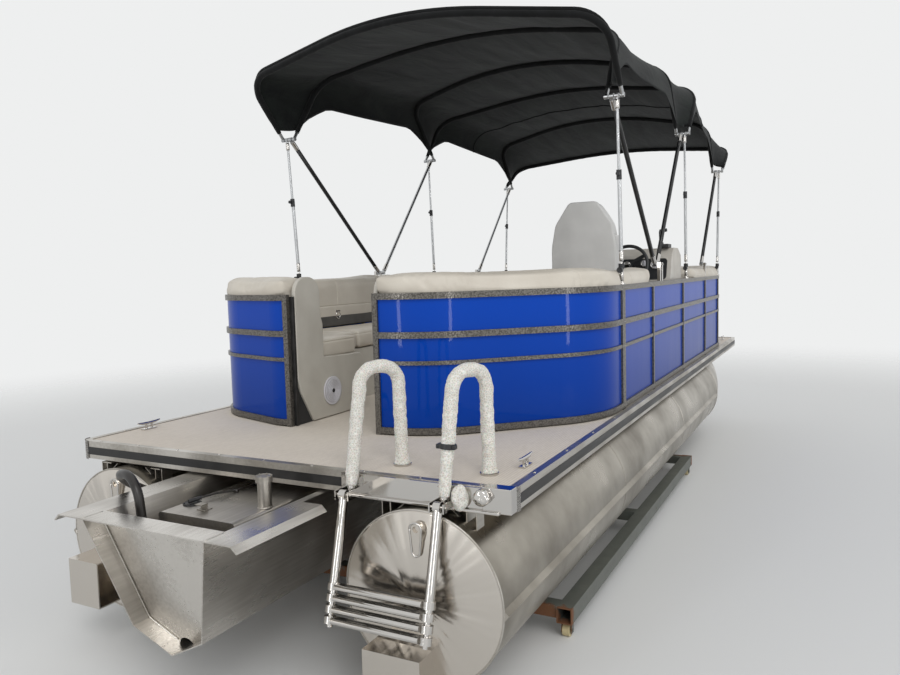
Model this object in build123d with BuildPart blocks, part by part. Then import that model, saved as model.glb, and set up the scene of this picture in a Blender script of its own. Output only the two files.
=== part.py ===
# Pontoon boat with a folding bimini top, parked on its wheeled yard cradle.
# Millimetres. +X is towards the bow, +Y is port, +Z is up.
# The origin is on the floor, under the middle of the whole.
from build123d import *
from math import atan2, cos, radians, sin, tan
import os

os.makedirs("parts", exist_ok=True)

# Driving dimensions of the boat
beam = 2400
deck_length = 6500
pod_reach = 655          # how far the motor pod stands out behind the deck
tube_r = 345
tube_y = 834             # pontoon centre line from the middle
tube_drop = 441          # pontoon centre below the deck's top

# Cradle stack, from the floor up to the pontoons
caster_height = 76
cradle_rail_height = 78

deck_top = caster_height + cradle_rail_height + tube_r + tube_drop
stern_x = -(deck_length - pod_reach) / 2

# The two sides, with the sign of Y on each
sides = {"port": 1, "starboard": -1}


def fore(x):
    """X of a place given as its distance ahead of the deck's rear edge."""
    return x + stern_x


def up(z):
    """Z of a place given as its height above the deck's top."""
    return z + deck_top


def save(piece, name):
    """Label a finished sub-part and write it."""
    piece.part.label = name
    export_step(piece.part, f"parts/{name}.step")


def block(x0, x1, y0, y1, z0, z1, mode=Mode.ADD):
    """A box between two corners, in deck coordinates."""
    with Locations((fore((x0 + x1) / 2), (y0 + y1) / 2, up((z0 + z1) / 2))):
        Box(x1 - x0, abs(y1 - y0), z1 - z0, mode=mode)


# Pontoons

tube_rear_x = -70
cap_bulge = 26
nose_start_x = 5250
nose_sections = [(5250, 345, 0), (5800, 262, 70), (6220, 135, 165), (6440, 34, 235)]  # x, radius, rise
strake_top, strake_tip, strake_low = -20, 5, 42      # below the tube's middle line
strake_end_x = 5150
eye_top, eye_length, eye_width, eye_thickness = 240, 130, 52, 10
eye_hole_depth = 12
bracket_wall = 6
# rear x, inboard y, outboard y, bottom z, top z
bracket_tables = {"port": (-220, 840, 1040, -735, -515), "starboard": (-188, -630, -885, -860, -632)}

tube_z = -tube_drop
for side_name, sign in sides.items():
    centre_y = sign * tube_y
    with BuildPart() as pontoon:
        # Tube with its slightly domed rear cap
        with BuildSketch(Plane.XZ.offset(-centre_y)):
            with BuildLine():
                axis_z = up(tube_z)
                apex = (fore(tube_rear_x - cap_bulge), axis_z)
                rim = (fore(tube_rear_x), axis_z + tube_r)
                mid = (fore(tube_rear_x - cap_bulge * 0.75), axis_z + tube_r / 2)
                ThreePointArc(apex, mid, rim)
                Line(rim, (fore(nose_start_x), axis_z + tube_r))
                Line((fore(nose_start_x), axis_z + tube_r), (fore(nose_start_x), axis_z))
                Line((fore(nose_start_x), axis_z), apex)
            make_face()
        revolve(axis=Axis((0, centre_y, up(tube_z)), (1, 0, 0)), revolution_arc=360)
        # Nose cone, raised towards its tip
        for x, radius, rise in nose_sections:
            with BuildSketch(Plane(origin=(fore(x), centre_y, up(tube_z + rise)), x_dir=(0, 1, 0), z_dir=(1, 0, 0))):
                Circle(radius)
        loft()
        # Spray strake along the outer side
        with BuildSketch(Plane(origin=(fore(tube_rear_x), centre_y, up(tube_z)), x_dir=(0, sign, 0),
                               z_dir=(1, 0, 0))) as strake:
            lift = sign
            inner_y = tube_r - 8
            with BuildLine():
                Polyline((inner_y, -strake_top * lift), (beam / 2 - tube_y, -strake_tip * lift),
                         (inner_y, -strake_low * lift), close=True)
            make_face()
        extrude(amount=strake_end_x - tube_rear_x)
        # Lifting eye on the rear cap
        with BuildSketch(Plane(origin=(fore(tube_rear_x - cap_bulge - 2), centre_y, up(tube_z + eye_top)),
                               x_dir=(0, 1, 0), z_dir=(1, 0, 0))):
            with BuildLine():
                top_arc = CenterArc((0, eye_length / 2 - eye_width / 2), eye_width / 2, 0, 180)
                low_arc = CenterArc((0, -eye_length / 2 + eye_width / 3), eye_width / 3, 180, 180)
                Line(top_arc @ 1, low_arc @ 0)
                Line(low_arc @ 1, top_arc @ 0)
            make_face()
            with Locations((0, eye_length / 2 - eye_width / 2)):
                Circle(eye_width / 4, mode=Mode.SUBTRACT)
        extrude(amount=eye_thickness + cap_bulge)
        eye_face_x = tube_rear_x - cap_bulge - 2
        eye_backing = tube_rear_x - eye_face_x - eye_hole_depth
        hole_z = tube_z + eye_top + eye_length / 2 - eye_width / 2
        with Locations(Location((fore(tube_rear_x - eye_backing / 2), centre_y, up(hole_z)), (0, 90, 0))):
            Cylinder(eye_width / 4 + 1, eye_backing)
        # Box bracket welded to the cap, closed behind and open inboard
        x0, inboard, outboard, z0, z1 = bracket_tables[side_name]
        block(x0, tube_rear_x, inboard, outboard, z0, z1)
        block(x0 + bracket_wall, eye_face_x - 5, inboard - sign, outboard - sign * bracket_wall,
              z0 + bracket_wall, z1 - bracket_wall, mode=Mode.SUBTRACT)
    save(pontoon, f"pontoon_{side_name}")

# Deck frame: cross channels on long riser angles

channel_count, channel_width, channel_web = 16, 40, 4
channel_top, channel_bottom = -22, -92
channel_first_x, channel_last_x = 70, 6430
channel_half = 1165
riser_offset, riser_thickness, riser_foot = 170, 5, 60
riser_end_x = 5700

with BuildPart() as deck_channels:
    step = (channel_last_x - channel_first_x) / (channel_count - 1)
    for i in range(channel_count):
        x = channel_first_x + i * step
        block(x - channel_width / 2, x + channel_width / 2, -channel_half, channel_half, channel_bottom, channel_top)
        block(x - channel_width / 2 + channel_web, x + channel_width, -channel_half - 1, channel_half + 1,
              channel_bottom + channel_web, channel_top - channel_web, mode=Mode.SUBTRACT)
save(deck_channels, "deck_channels")

with BuildPart() as deck_risers:
    for sign in sides.values():
        for reach in (-riser_offset, riser_offset):
            y = sign * tube_y + reach
            block(0, riser_end_x, y - riser_thickness / 2, y + riser_thickness / 2, -165, channel_bottom)
            block(0, channel_last_x, y - riser_foot / 2, y + riser_foot / 2, channel_bottom - riser_thickness,
                  channel_bottom)
    for sign in sides.values():
        with Locations(Location((fore(2600), sign * tube_y, up(tube_z)), (0, 90, 0))):
            Cylinder(tube_r, 6400, mode=Mode.SUBTRACT)
save(deck_risers, "deck_risers")

# Motor pod and the tank in it: folded sheet with side flanges and an open top

tank_x0, tank_x1, tank_half, tank_top, tank_bottom = -390, 520, 205, -130, -400
tank_bearer_half = 209
pod_sheet = 5
pod_half_top, pod_half_chine = 318, 183
pod_top, pod_chine, pod_keel = -94, -535, -629
pod_end_x, pod_bow_rise_x = 900, 420
pod_foot_x = -542                # the transom's foot; it leans aft from here
pod_flanges, pod_lip = {"port": 137, "starboard": 125}, 25      # the starboard one clears the ladder
pod_flange_end_x, pod_wide_end_x, pod_narrow_flange = 600, -155, 32
pod_recess, pod_strip = 78, 105              # the transom's depth behind the walls' ends; the strip over it
drain_r = 42
doubler_outline, doubler_thickness = [(-270, -135), (-160, -495), (160, -495), (270, -135)], 2
tank_bearer_xs, tank_bearer_height = (-330, 420), 40

with BuildPart() as centre_pod:
    section_plane = Plane(origin=(fore(-pod_reach), 0, up(0)), x_dir=(0, 1, 0), z_dir=(1, 0, 0))
    outer_section = [(-pod_half_top, pod_top), (-pod_half_chine, pod_chine), (0, pod_keel),
                     (pod_half_chine, pod_chine), (pod_half_top, pod_top)]
    with BuildSketch(section_plane):
        with BuildLine():
            Polyline(*outer_section, close=True)
        make_face()
    extrude(amount=pod_reach + pod_end_x)
    transom = Plane(origin=(fore(-pod_reach), 0, up(pod_top)), x_dir=(0, 1, 0),
                    z_dir=(pod_top - pod_keel, 0, pod_foot_x + pod_reach))
    split(bisect_by=transom, keep=Keep.TOP)
    bow_plate = Plane(origin=(fore(pod_bow_rise_x), 0, up(pod_keel)), x_dir=(0, 1, 0), z_dir=(0.72, 0, -0.7))
    split(bisect_by=bow_plate, keep=Keep.BOTTOM)
    top_face = faces().sort_by(Axis.Z)[-1]
    offset(amount=-pod_sheet, openings=top_face)
    # Set the transom in from the walls' ends, under a strip of sheet
    recessed = transom.offset(pod_recess)
    with BuildPart(mode=Mode.SUBTRACT):
        with BuildSketch(section_plane):
            with BuildLine():
                Polyline(*outer_section, close=True)
            make_face()
            offset(amount=-pod_sheet)
        extrude(amount=pod_reach)
        split(bisect_by=recessed, keep=Keep.BOTTOM)
    with BuildPart():
        with BuildSketch(section_plane):
            with BuildLine():
                Polyline(*outer_section, close=True)
            make_face()
            offset(amount=-pod_sheet / 2)
        extrude(amount=pod_reach)
        split(bisect_by=recessed, keep=Keep.TOP)
        split(bisect_by=recessed.offset(pod_sheet), keep=Keep.BOTTOM)
        # Half-round drain at the foot of the transom
        with BuildSketch(Plane(origin=(fore(-pod_reach), 0, up(pod_keel)), x_dir=(0, 1, 0), z_dir=(1, 0, 0))):
            Circle(drain_r)
        extrude(amount=pod_reach, mode=Mode.SUBTRACT)
    # Flat doubler on the transom, where a motor is bolted
    with BuildPart():
        with BuildSketch(Plane(origin=(fore(-pod_reach), 0, up(0)), x_dir=(0, 1, 0), z_dir=(1, 0, 0))):
            with BuildLine():
                Polyline(*doubler_outline, close=True)
            make_face()
        extrude(amount=pod_reach)
        split(bisect_by=recessed.offset(-doubler_thickness), keep=Keep.TOP)
        split(bisect_by=recessed.offset(pod_sheet / 2), keep=Keep.BOTTOM)
    block(-pod_reach, -pod_reach + pod_strip, -pod_half_top, pod_half_top, pod_top - pod_sheet, pod_top)
    # Turned-out flanges, with a lip that slants down; the starboard one narrows under the deck
    for side_name, sign in sides.items():
        inner = sign * (pod_half_top - pod_sheet)
        outer = sign * (pod_half_top + pod_flanges[side_name])
        wide_end_x = pod_flange_end_x if side_name == "port" else pod_wide_end_x
        block(-pod_reach, wide_end_x, inner, outer, pod_top - pod_sheet, pod_top)
        block(wide_end_x - 1, pod_flange_end_x + 1, inner, sign * (pod_half_top + pod_narrow_flange),
              pod_top - pod_sheet, pod_top)
        with BuildSketch(section_plane):
            with BuildLine():
                Polyline((outer - sign * pod_sheet, pod_top), (outer, pod_top),
                         (outer + sign * pod_lip, pod_top - pod_lip),
                         (outer + sign * (pod_lip - pod_sheet), pod_top - pod_lip - 2),
                         (outer - sign * pod_sheet, pod_top - pod_sheet), close=True)
            make_face()
        extrude(amount=pod_reach + pod_wide_end_x)
    # Bearers under the tank
    for x in tank_bearer_xs:
        block(x - 20, x + 20, -tank_bearer_half, tank_bearer_half, tank_bottom - tank_bearer_height, tank_bottom)
save(centre_pod, "centre_pod")

# Fuel tank in the pod, with its filler neck

filler_x, filler_y, filler_r, filler_top = -175, -170, 28, -12
with BuildPart() as fuel_tank:
    block(tank_x0, tank_x1, -tank_half, tank_half, tank_bottom, tank_top)
    fillet(edges().filter_by(Axis.X), 18)
    with Locations((fore(filler_x), filler_y, up((tank_top + filler_top) / 2))):
        Cylinder(filler_r, filler_top - tank_top)
    with Locations((fore(filler_x), filler_y, up(filler_top - 6))):
        Cylinder(filler_r + 7, 12)
save(fuel_tank, "fuel_tank")

# Rigging hose, from the pod over its port flange and on under the deck

hose_r = 19
hose_route = [(-440, 215, -330), (-440, 240, -180), (-435, 262, -40), (-412, 335, 12), (-375, 435, 0),
              (-300, 530, -45), (-205, 590, -105), (-110, 560, -170), (-20, 520, -205), (80, 500, -215)]
with BuildPart() as rigging_hose:
    route = [Vector(fore(x), y, up(z)) for x, y, z in hose_route]
    runs = [b - a for a, b in zip(route, route[1:])]
    turns = [radians(a.get_angle(b)) for a, b in zip(runs, runs[1:])]
    bends = [0.45 * min(a.length, b.length) / tan(turn / 2) for a, b, turn in zip(runs, runs[1:], turns)]
    with BuildLine() as hose_line:
        FilletPolyline(*route, radius=bends)
    with BuildSketch(Plane(origin=route[0], z_dir=runs[0])):
        Circle(hose_r)
    sweep(path=hose_line.wire())
    hose_length = hose_line.wire().length
save(rigging_hose, "rigging_hose")
print("hose bends", [round(bend) for bend in bends], "length", round(hose_length))

# Deck board with its rub rail and rubber

board_thickness = 22
rail_height, rail_width, rubber_top, rubber_bottom, rubber_depth = 84, 16, -25, -63, 9
rail_top, rail_lip, rail_lip_thickness = 5, 34, 4
corner_r = 45
with BuildPart() as deck_board:
    with BuildSketch(Plane.XY.offset(up(-board_thickness))):
        with Locations((fore(deck_length / 2), 0)):
            RectangleRounded(deck_length - 2 * rail_width, beam - 2 * rail_width, corner_r)
    extrude(amount=board_thickness)
save(deck_board, "deck_board")


def ring(low, high, outer_inset, inner_inset, mode=Mode.ADD):
    """A rounded rectangular ring round the deck's edge."""
    with BuildSketch(Plane.XY.offset(up(low))) as plan:
        with Locations((fore(deck_length / 2), 0)):
            RectangleRounded(deck_length - 2 * outer_inset, beam - 2 * outer_inset, corner_r + rail_width - outer_inset)
            RectangleRounded(deck_length - 2 * inner_inset, beam - 2 * inner_inset,
                             corner_r + rail_width - inner_inset, mode=Mode.SUBTRACT)
    extrude(plan.sketch, amount=high - low, mode=mode)


with BuildPart() as rub_rail:
    ring(-rail_height, rail_top, 2, rail_width)
    ring(rubber_bottom, rubber_top, 1, rubber_depth, mode=Mode.SUBTRACT)
    ring(-rail_height, -rail_height + rail_lip_thickness, 2, rail_lip - 3)
    ring(0, rail_top, 2, rail_lip)
save(rub_rail, "rub_rail")

with BuildPart() as rub_rail_rubber:
    ring(rubber_bottom, rubber_top, 0, rubber_depth)
save(rub_rail_rubber, "rub_rail_rubber")

# Polished stern channel behind the ladder

channel_y0, channel_y1, stern_channel_depth, stern_channel_height = -1150, -440, 14, 90
with BuildPart() as stern_channel:
    block(-stern_channel_depth, 0, channel_y0, channel_y1, -stern_channel_height, 2)
    block(-stern_channel_depth + 4, 0, channel_y0 - 1, channel_y1 + 1, -stern_channel_height + 4, -2,
          mode=Mode.SUBTRACT)
save(stern_channel, "stern_channel")

# Mooring cleats on the deck

cleat_places = [(354, 1105), (354, -1105), (6180, 1105), (6180, -1105)]
with BuildPart() as cleats:
    for x, y in cleat_places:
        block(x - 38, x + 38, y - 16, y + 16, 0, 8)
        for shift in (-18, 18):
            block(x + shift - 6, x + shift + 6, y - 6, y + 6, 8, 34)
        with Locations(Location((fore(x), y, up(36)), (0, 90, 0))):
            Cylinder(8, 150)
save(cleats, "cleats")

# Grab rails over the ladder, and the foam sleeves on them

hoop_r, sleeve_r, sleeve_bore = 16, 29, 17
hoop_top, hoop_rear_z, hoop_bend = 430, -70, 78
hoop_table = [(-505, -615), (-930, -1018)]      # y of the rear foot, y of the front foot
hoop_rear_x, hoop_front_x = -44, 185
sleeve_low_z = 45


def hoop_path(rear_y, front_y):
    """The bent line of one grab rail, inside a BuildLine."""
    rear = Vector(fore(hoop_rear_x), rear_y, up(hoop_rear_z))
    lean = Vector(fore(hoop_rear_x + 62), rear_y + 0.27 * (front_y - rear_y), up(hoop_top))
    turn = Vector(fore(hoop_front_x - 8), front_y - 0.03 * (front_y - rear_y), up(hoop_top))
    front = Vector(fore(hoop_front_x), front_y, up(3))
    return FilletPolyline(rear, lean, turn, front, radius=hoop_bend)


ladder_pin_x, ladder_pin_z, ladder_lean = -84, -68, 15
ladder_ys = (-500, -928)
lug_shift, lug_thickness, lug_bottom, lug_top = 30, 6, -86, -50
ladder_pin_r = 6
with BuildPart() as grab_rails:
    for rear_y, front_y in hoop_table:
        with BuildLine() as rail_line:
            hoop_path(rear_y, front_y)
        with BuildSketch(Plane(origin=rail_line.wire() @ 0, z_dir=rail_line.wire() % 0)):
            Circle(hoop_r)
        sweep(path=rail_line.wire())
        with Locations((fore(hoop_front_x), front_y, up(4))):
            Cylinder(38, 8)
    # Stern foot plates with the ladder's hinge lugs and pins
    for y in ladder_ys:
        block(-24, -stern_channel_depth, y - 36, y + 36, -88, -8)
        block(hoop_rear_x, -20, y - 20, y + 10, -84, -50)
        for shift in (-lug_shift, lug_shift):
            block(ladder_pin_x - 18, -20, y + shift - lug_thickness / 2, y + shift + lug_thickness / 2,
                  lug_bottom, lug_top)
        with Locations(Location((fore(ladder_pin_x), y, up(ladder_pin_z)), (90, 0, 0))):
            Cylinder(ladder_pin_r, 2 * lug_shift + 10)
save(grab_rails, "grab_rails")

with BuildPart() as foam_sleeves:
    for rear_y, front_y in hoop_table:
        with BuildLine() as sleeve_line:
            hoop_path(rear_y, front_y)
        section = Plane(origin=sleeve_line.wire() @ 0, z_dir=sleeve_line.wire() % 0)
        with BuildSketch(section):
            Circle(sleeve_r)
            Circle(sleeve_bore, mode=Mode.SUBTRACT)
        sweep(path=sleeve_line.wire())
    block(-200, 400, -1100, -400, -200, sleeve_low_z, mode=Mode.SUBTRACT)
save(foam_sleeves, "foam_sleeves")

# Telescoping boarding ladder, hanging closed

ladder_plane = Plane(origin=(fore(ladder_pin_x), 0, up(ladder_pin_z)), x_dir=(0, 1, 0),
                     z_dir=(-sin(radians(ladder_lean)), 0, -cos(radians(ladder_lean))))
rung_pitch, first_rung, collar_length, collar_r, rung_r = 42, 352, 28, 24, 12
# outer radius, bore radius, top of the tube, end of the tube, along the stile from the pin
ladder_sections = [(19, 16.5, 0, 366), (16, 13.6, 40, 408), (13.1, 10.8, 80, 450), (10.3, 0, 120, 506)]
for number, (outer, bore, start, end) in enumerate(ladder_sections):
    rung_s = first_rung + number * rung_pitch
    with BuildPart() as ladder_section:
        for y in ladder_ys:
            with BuildSketch(ladder_plane.offset(start)):
                with Locations((y, 0)):
                    Circle(outer)
            extrude(amount=end - start)
            with BuildSketch(ladder_plane.offset(rung_s - collar_length / 2)):
                with Locations((y, 0)):
                    Circle(collar_r)
            extrude(amount=collar_length)
        # Rung: two bars side by side across the stiles
        rung_plane = Plane(origin=ladder_plane.from_local_coords((0, 0, rung_s)), x_dir=ladder_plane.y_dir,
                           z_dir=(0, 1, 0))
        with BuildSketch(rung_plane.offset(ladder_ys[1] + 20)):
            SlotOverall(62, 2 * rung_r)
        extrude(amount=ladder_ys[0] - ladder_ys[1] - 40)
        if number == 0:
            # Hinge lugs at the top
            for y in ladder_ys:
                with Locations(Location((fore(ladder_pin_x), y, up(ladder_pin_z)), (90, 0, 0))):
                    Cylinder(21, 30)
        if bore:
            for y in ladder_ys:
                with BuildSketch(ladder_plane.offset(start + (30 if number == 0 else -1))):
                    with Locations((y, 0)):
                        Circle(bore)
                extrude(amount=end + 60, mode=Mode.SUBTRACT)
        if number == 0:
            for y in ladder_ys:
                with Locations(Location((fore(ladder_pin_x), y, up(ladder_pin_z)), (90, 0, 0))):
                    Cylinder(ladder_pin_r + 0.05, 60, mode=Mode.SUBTRACT)
    save(ladder_section, f"ladder_section_{number + 1}")

# Fence: plan lines of the aft corners and of the bow

fence_y = 1147
aft_x, fence_joint_x, bow_x = 678, 1753, 5917
bow_r = 450
# gate post y, knee y, knee radius, shoulder radius, degrees that the fence turns at its knee
aft_table = {"port": (385, 470, 260, 450, 18), "starboard": (186, 450, 600, 600, 45)}
bow_gate_y, post_half = 350, 15
hinge_x, hinge_y, hinge_zs, hinge_pin_r = bow_x + 22, 333, (150, 560), 4


def aft_points(side_name, shift, end_x, start_trim=0):
    """Points and radii of the fence line round an aft corner, moved outwards by shift."""
    sign = sides[side_name]
    gate_y, knee_y, knee_r, shoulder_r, turn = aft_table[side_name]
    turn_x = aft_x + (fence_y - knee_y) * tan(radians(turn))
    knee_slope, shoulder_slope = tan(radians(turn / 2)), tan(radians((90 - turn) / 2))
    points = [(aft_x - shift, gate_y + start_trim), (aft_x - shift, knee_y + knee_slope * shift),
              (turn_x - shoulder_slope * shift, fence_y + shift), (end_x, fence_y + shift)]
    return [(fore(x), sign * y) for x, y in points], [knee_r + shift, shoulder_r + shift]


def bow_points(side_name, shift, start_x, end_y):
    """Points and radii of the fence line along one side and round the bow corner."""
    sign = sides[side_name]
    points = [(start_x, fence_y + shift), (bow_x + shift, fence_y + shift), (bow_x + shift, end_y)]
    return [(fore(x), sign * y) for x, y in points], [bow_r + shift]


def band(outer, inner, low, high):
    """A wall of even height between two plan lines."""
    with BuildSketch(Plane.XY.offset(up(low))) as plan:
        with BuildLine():
            a = FilletPolyline(*outer[0], radius=outer[1])
            b = FilletPolyline(*inner[0], radius=inner[1])
            Line(a @ 0, b @ 0)
            Line(a @ 1, b @ 1)
        make_face()
    extrude(plan.sketch, amount=high - low)


skin_half, frame_half, fence_top = 1.5, 14, 714
# bottom, top, inner shift, outer shift of each rail
fence_rails = [(8, 40, -14, 14), (355, 375, 1.5, 12), (488, 520, 1.5, 15), (682, 714, -14, 14)]
side_posts = [2526, 3589, 4659, 5452]

for side_name, sign in sides.items():
    gate_y = aft_table[side_name][0]
    with BuildPart() as fence_aft:
        for low, high, inner, outer in fence_rails:
            band(aft_points(side_name, outer, fence_joint_x - 1), aft_points(side_name, inner, fence_joint_x - 1),
                 low, high)
        block(aft_x - frame_half, aft_x + frame_half, sign * gate_y - post_half, sign * gate_y + post_half,
              0, fence_top)
        block(fence_joint_x - 31, fence_joint_x - 1, sign * fence_y - frame_half, sign * fence_y + frame_half,
              0, fence_top)
    save(fence_aft, f"fence_aft_{side_name}")

    with BuildPart() as fence_side:
        for low, high, inner, outer in fence_rails:
            band(bow_points(side_name, outer, fence_joint_x + 1, bow_gate_y),
                 bow_points(side_name, inner, fence_joint_x + 1, bow_gate_y), low, high)
        block(fence_joint_x + 1, fence_joint_x + 31, sign * fence_y - frame_half, sign * fence_y + frame_half,
              0, fence_top)
        for x in side_posts:
            for inner, outer in ((-frame_half, -skin_half), (skin_half, frame_half)):
                block(x - 15, x + 15, sign * (fence_y + inner), sign * (fence_y + outer), 0, fence_top)
        block(bow_x - frame_half, bow_x + frame_half, sign * bow_gate_y - post_half, sign * bow_gate_y + post_half,
              0, fence_top)
        if side_name == "port":
            # Lugs and pins of the bow gate's hinges
            for z in hinge_zs:
                for shift in (-28, 28):
                    block(bow_x + frame_half, hinge_x + 6, 328, 365, z + shift - 4, z + shift + 4)
                with Locations((fore(hinge_x), hinge_y, up(z))):
                    Cylinder(hinge_pin_r, 62)
    save(fence_side, f"fence_side_{side_name}")

    with BuildPart() as fence_skin:
        band(aft_points(side_name, skin_half, fence_joint_x - 31, post_half),
             aft_points(side_name, -skin_half, fence_joint_x - 31, post_half), 40, 682)
        band(bow_points(side_name, skin_half, fence_joint_x + 31, bow_gate_y + post_half),
             bow_points(side_name, -skin_half, fence_joint_x + 31, bow_gate_y + post_half), 40, 682)
    save(fence_skin, f"fence_skin_{side_name}")

# Bow gate

gate_half, gate_stile = 323, 30
with BuildPart() as bow_gate_frame:
    for low, high, inner, outer in fence_rails:
        block(bow_x + inner, bow_x + outer, -gate_half, gate_half, low, high)
    for sign in sides.values():
        edge = sign * gate_half
        block(bow_x - frame_half, bow_x + frame_half, min(edge, edge - sign * gate_stile),
              max(edge, edge - sign * gate_stile), 8, fence_top)
    for z in hinge_zs:
        block(bow_x + frame_half - 1, hinge_x, 312, hinge_y - 5, z - 22, z + 22)
        with Locations((fore(hinge_x), hinge_y, up(z))):
            Cylinder(6.5, 44)
            Cylinder(hinge_pin_r + 0.05, 46, mode=Mode.SUBTRACT)
save(bow_gate_frame, "bow_gate_frame")

with BuildPart() as bow_gate_skin:
    block(bow_x - skin_half, bow_x + skin_half, -gate_half + gate_stile, gate_half - gate_stile, 40, 682)
save(bow_gate_skin, "bow_gate_skin")

# Lounges: moulded bases, backrests, fixed corner seats and seat lids

seat_inner, base_inner, base_top = 530, 560, 330
seat_low, seat_high = 335, 450
back_inner, back_outer, roll_outer, back_low, roll_low, roll_top = -190, -18, 12, 455, 716, 806
seat_back_shift = -196
canopy_mount_xs = (1753, 2750, 2812, 3750, 4680, 5467)      # where the top's legs and struts meet the rail
notch_half, notch_inner = 26, 1095
aft_seat_front, aft_base_front = 1330, 1300
aft_ends = {"port": 2560, "starboard": 2330}
aft_seat_joints = {"port": 1560, "starboard": 1630}      # where the fixed corner seat meets the lid
bow_start, bow_seat_start, bow_seat_joint = 3950, 4150, 5250
pocket_wall = 22


def lounge_plan(points, radii, corners):
    """A face between a plan line and the straight edges that close it."""
    with BuildLine() as outline:
        line = FilletPolyline(*points, radius=radii)
        Polyline(line @ 1, *corners, line @ 0)
    make_face(outline.edges())


def mount_notches():
    """Clearances in the backrest rolls round the canopy's mounts."""
    for x in canopy_mount_xs:
        for y0, y1 in ((notch_inner, beam / 2), (-beam / 2, -notch_inner)):
            block(x - notch_half, x + notch_half, y0, y1, roll_low - 1, roll_top + 1, mode=Mode.SUBTRACT)


with BuildPart() as lounge_bases_aft:
    for side_name, sign in sides.items():
        gate_y = aft_table[side_name][0]
        end_x = aft_ends[side_name]
        with BuildSketch(Plane.XY.offset(up(0))):
            lounge_plan(*aft_points(side_name, -22, end_x, -10), [
                (fore(end_x), sign * base_inner), (fore(aft_base_front), sign * base_inner),
                (fore(aft_base_front), sign * (gate_y - 10))])
        extrude(amount=base_top)
        block(aft_seat_joints[side_name] + 20, end_x - pocket_wall, sign * (base_inner + pocket_wall), sign * 940,
              pocket_wall, base_top + 1, mode=Mode.SUBTRACT)
save(lounge_bases_aft, "lounge_bases_aft")

with BuildPart() as lounge_bases_bow:
    for side_name, sign in sides.items():
        with BuildSketch(Plane.XY.offset(up(0))):
            lounge_plan(*bow_points(side_name, -22, bow_start, base_inner), [(fore(bow_start), sign * base_inner)])
        extrude(amount=base_top)
        block(bow_seat_start + 20, bow_seat_joint - pocket_wall, sign * (base_inner + pocket_wall), sign * 940,
              pocket_wall, base_top + 1, mode=Mode.SUBTRACT)
save(lounge_bases_bow, "lounge_bases_bow")

with BuildPart() as backrests_aft:
    for side_name in sides:
        end_x = aft_ends[side_name] + (120 if side_name == "starboard" else 0)
        for outer, low, high in ((back_outer, back_low, roll_low), (roll_outer, roll_low, roll_top)):
            band(aft_points(side_name, outer, end_x, -10), aft_points(side_name, back_inner, end_x, -10), low, high)
    mount_notches()
save(backrests_aft, "backrests_aft")

with BuildPart() as backrests_bow:
    for side_name, sign in sides.items():
        for outer, low, high in ((back_outer, back_low, roll_low), (roll_outer, roll_low, roll_top)):
            band(bow_points(side_name, outer, bow_start, base_inner),
                 bow_points(side_name, back_inner, bow_start, base_inner), low, high)
        block(bow_start, bow_seat_start - 6, sign * seat_inner, sign * (fence_y + back_inner), base_top + 5, roll_top)
    mount_notches()
save(backrests_bow, "backrests_bow")

with BuildPart() as seats_fixed:
    for side_name, sign in sides.items():
        gate_y = aft_table[side_name][0]
        joint_x = aft_seat_joints[side_name]
        with BuildSketch(Plane.XY.offset(up(seat_low))):
            lounge_plan(*aft_points(side_name, seat_back_shift, joint_x, -10), [
                (fore(joint_x), sign * seat_inner), (fore(aft_seat_front), sign * seat_inner),
                (fore(aft_seat_front), sign * (gate_y - 10))])
        extrude(amount=seat_high - seat_low)
        with BuildSketch(Plane.XY.offset(up(seat_low))):
            lounge_plan(*bow_points(side_name, seat_back_shift, bow_seat_joint + 3, seat_inner),
                        [(fore(bow_seat_joint + 3), sign * seat_inner)])
        extrude(amount=seat_high - seat_low)
save(seats_fixed, "seats_fixed")

lid_outer = fence_y + seat_back_shift - 4
barrel_r = 6                     # hinge barrels along the lids' rear top edges
lid_table = [
    ("seat_lid_aft_port", 1, aft_seat_joints["port"] + 6, aft_ends["port"]),
    ("seat_lid_aft_starboard", -1, aft_seat_joints["starboard"] + 6, aft_ends["starboard"]),
    ("seat_lid_bow_port", 1, bow_seat_start, bow_seat_joint - 3),
    ("seat_lid_bow_starboard", -1, bow_seat_start, bow_seat_joint - 3),
]      # name, side sign, rear end, front end
for name, sign, x0, x1 in lid_table:
    with BuildPart() as seat_lid:
        block(x0, x1, sign * seat_inner, sign * lid_outer, seat_low, seat_high)
        fillet(edges().filter_by(Axis.X).group_by(Axis.Z)[-1], 25)
        for share in (0.15, 0.5, 0.85):
            barrel_x = x0 + share * (x1 - x0)
            barrel_y = sign * (lid_outer - barrel_r)
            with Locations(Location((fore(barrel_x), barrel_y, up(seat_high - barrel_r)), (0, 90, 0))):
                Cylinder(barrel_r, 70)
    save(seat_lid, name)

# Moulded end panels at the stern gate, and their speakers

panel_thickness = 25
panel_outline = [(839, 4), (740, 170), (713, 250), (713, 762), (760, 806), (880, 806), (933, 731), (933, 590),
                 (951, 540), (951, 352), (1372, 338), (1300, 190), (1262, 4)]
speaker_x, speaker_z, speaker_r, speaker_proud = 1013, 150, 82, 8
with BuildPart() as lounge_end_panels:
    for side_name, sign in sides.items():
        face_y = sign * (aft_table[side_name][0] - 10)
        with BuildSketch(Plane.XZ.offset(-face_y)):
            with BuildLine():
                Polyline(*[(fore(x), up(z)) for x, z in panel_outline], close=True)
            make_face()
        extrude(amount=sign * panel_thickness)
        y = sign * (aft_table[side_name][0] - 10 - panel_thickness)
        with Locations(Location((fore(speaker_x), y, up(speaker_z)), (90, 0, 0))):
            Cylinder(speaker_r, 2 * speaker_proud)
save(lounge_end_panels, "lounge_end_panels")

# Helm console, dash, steering wheel and captain's chair

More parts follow.
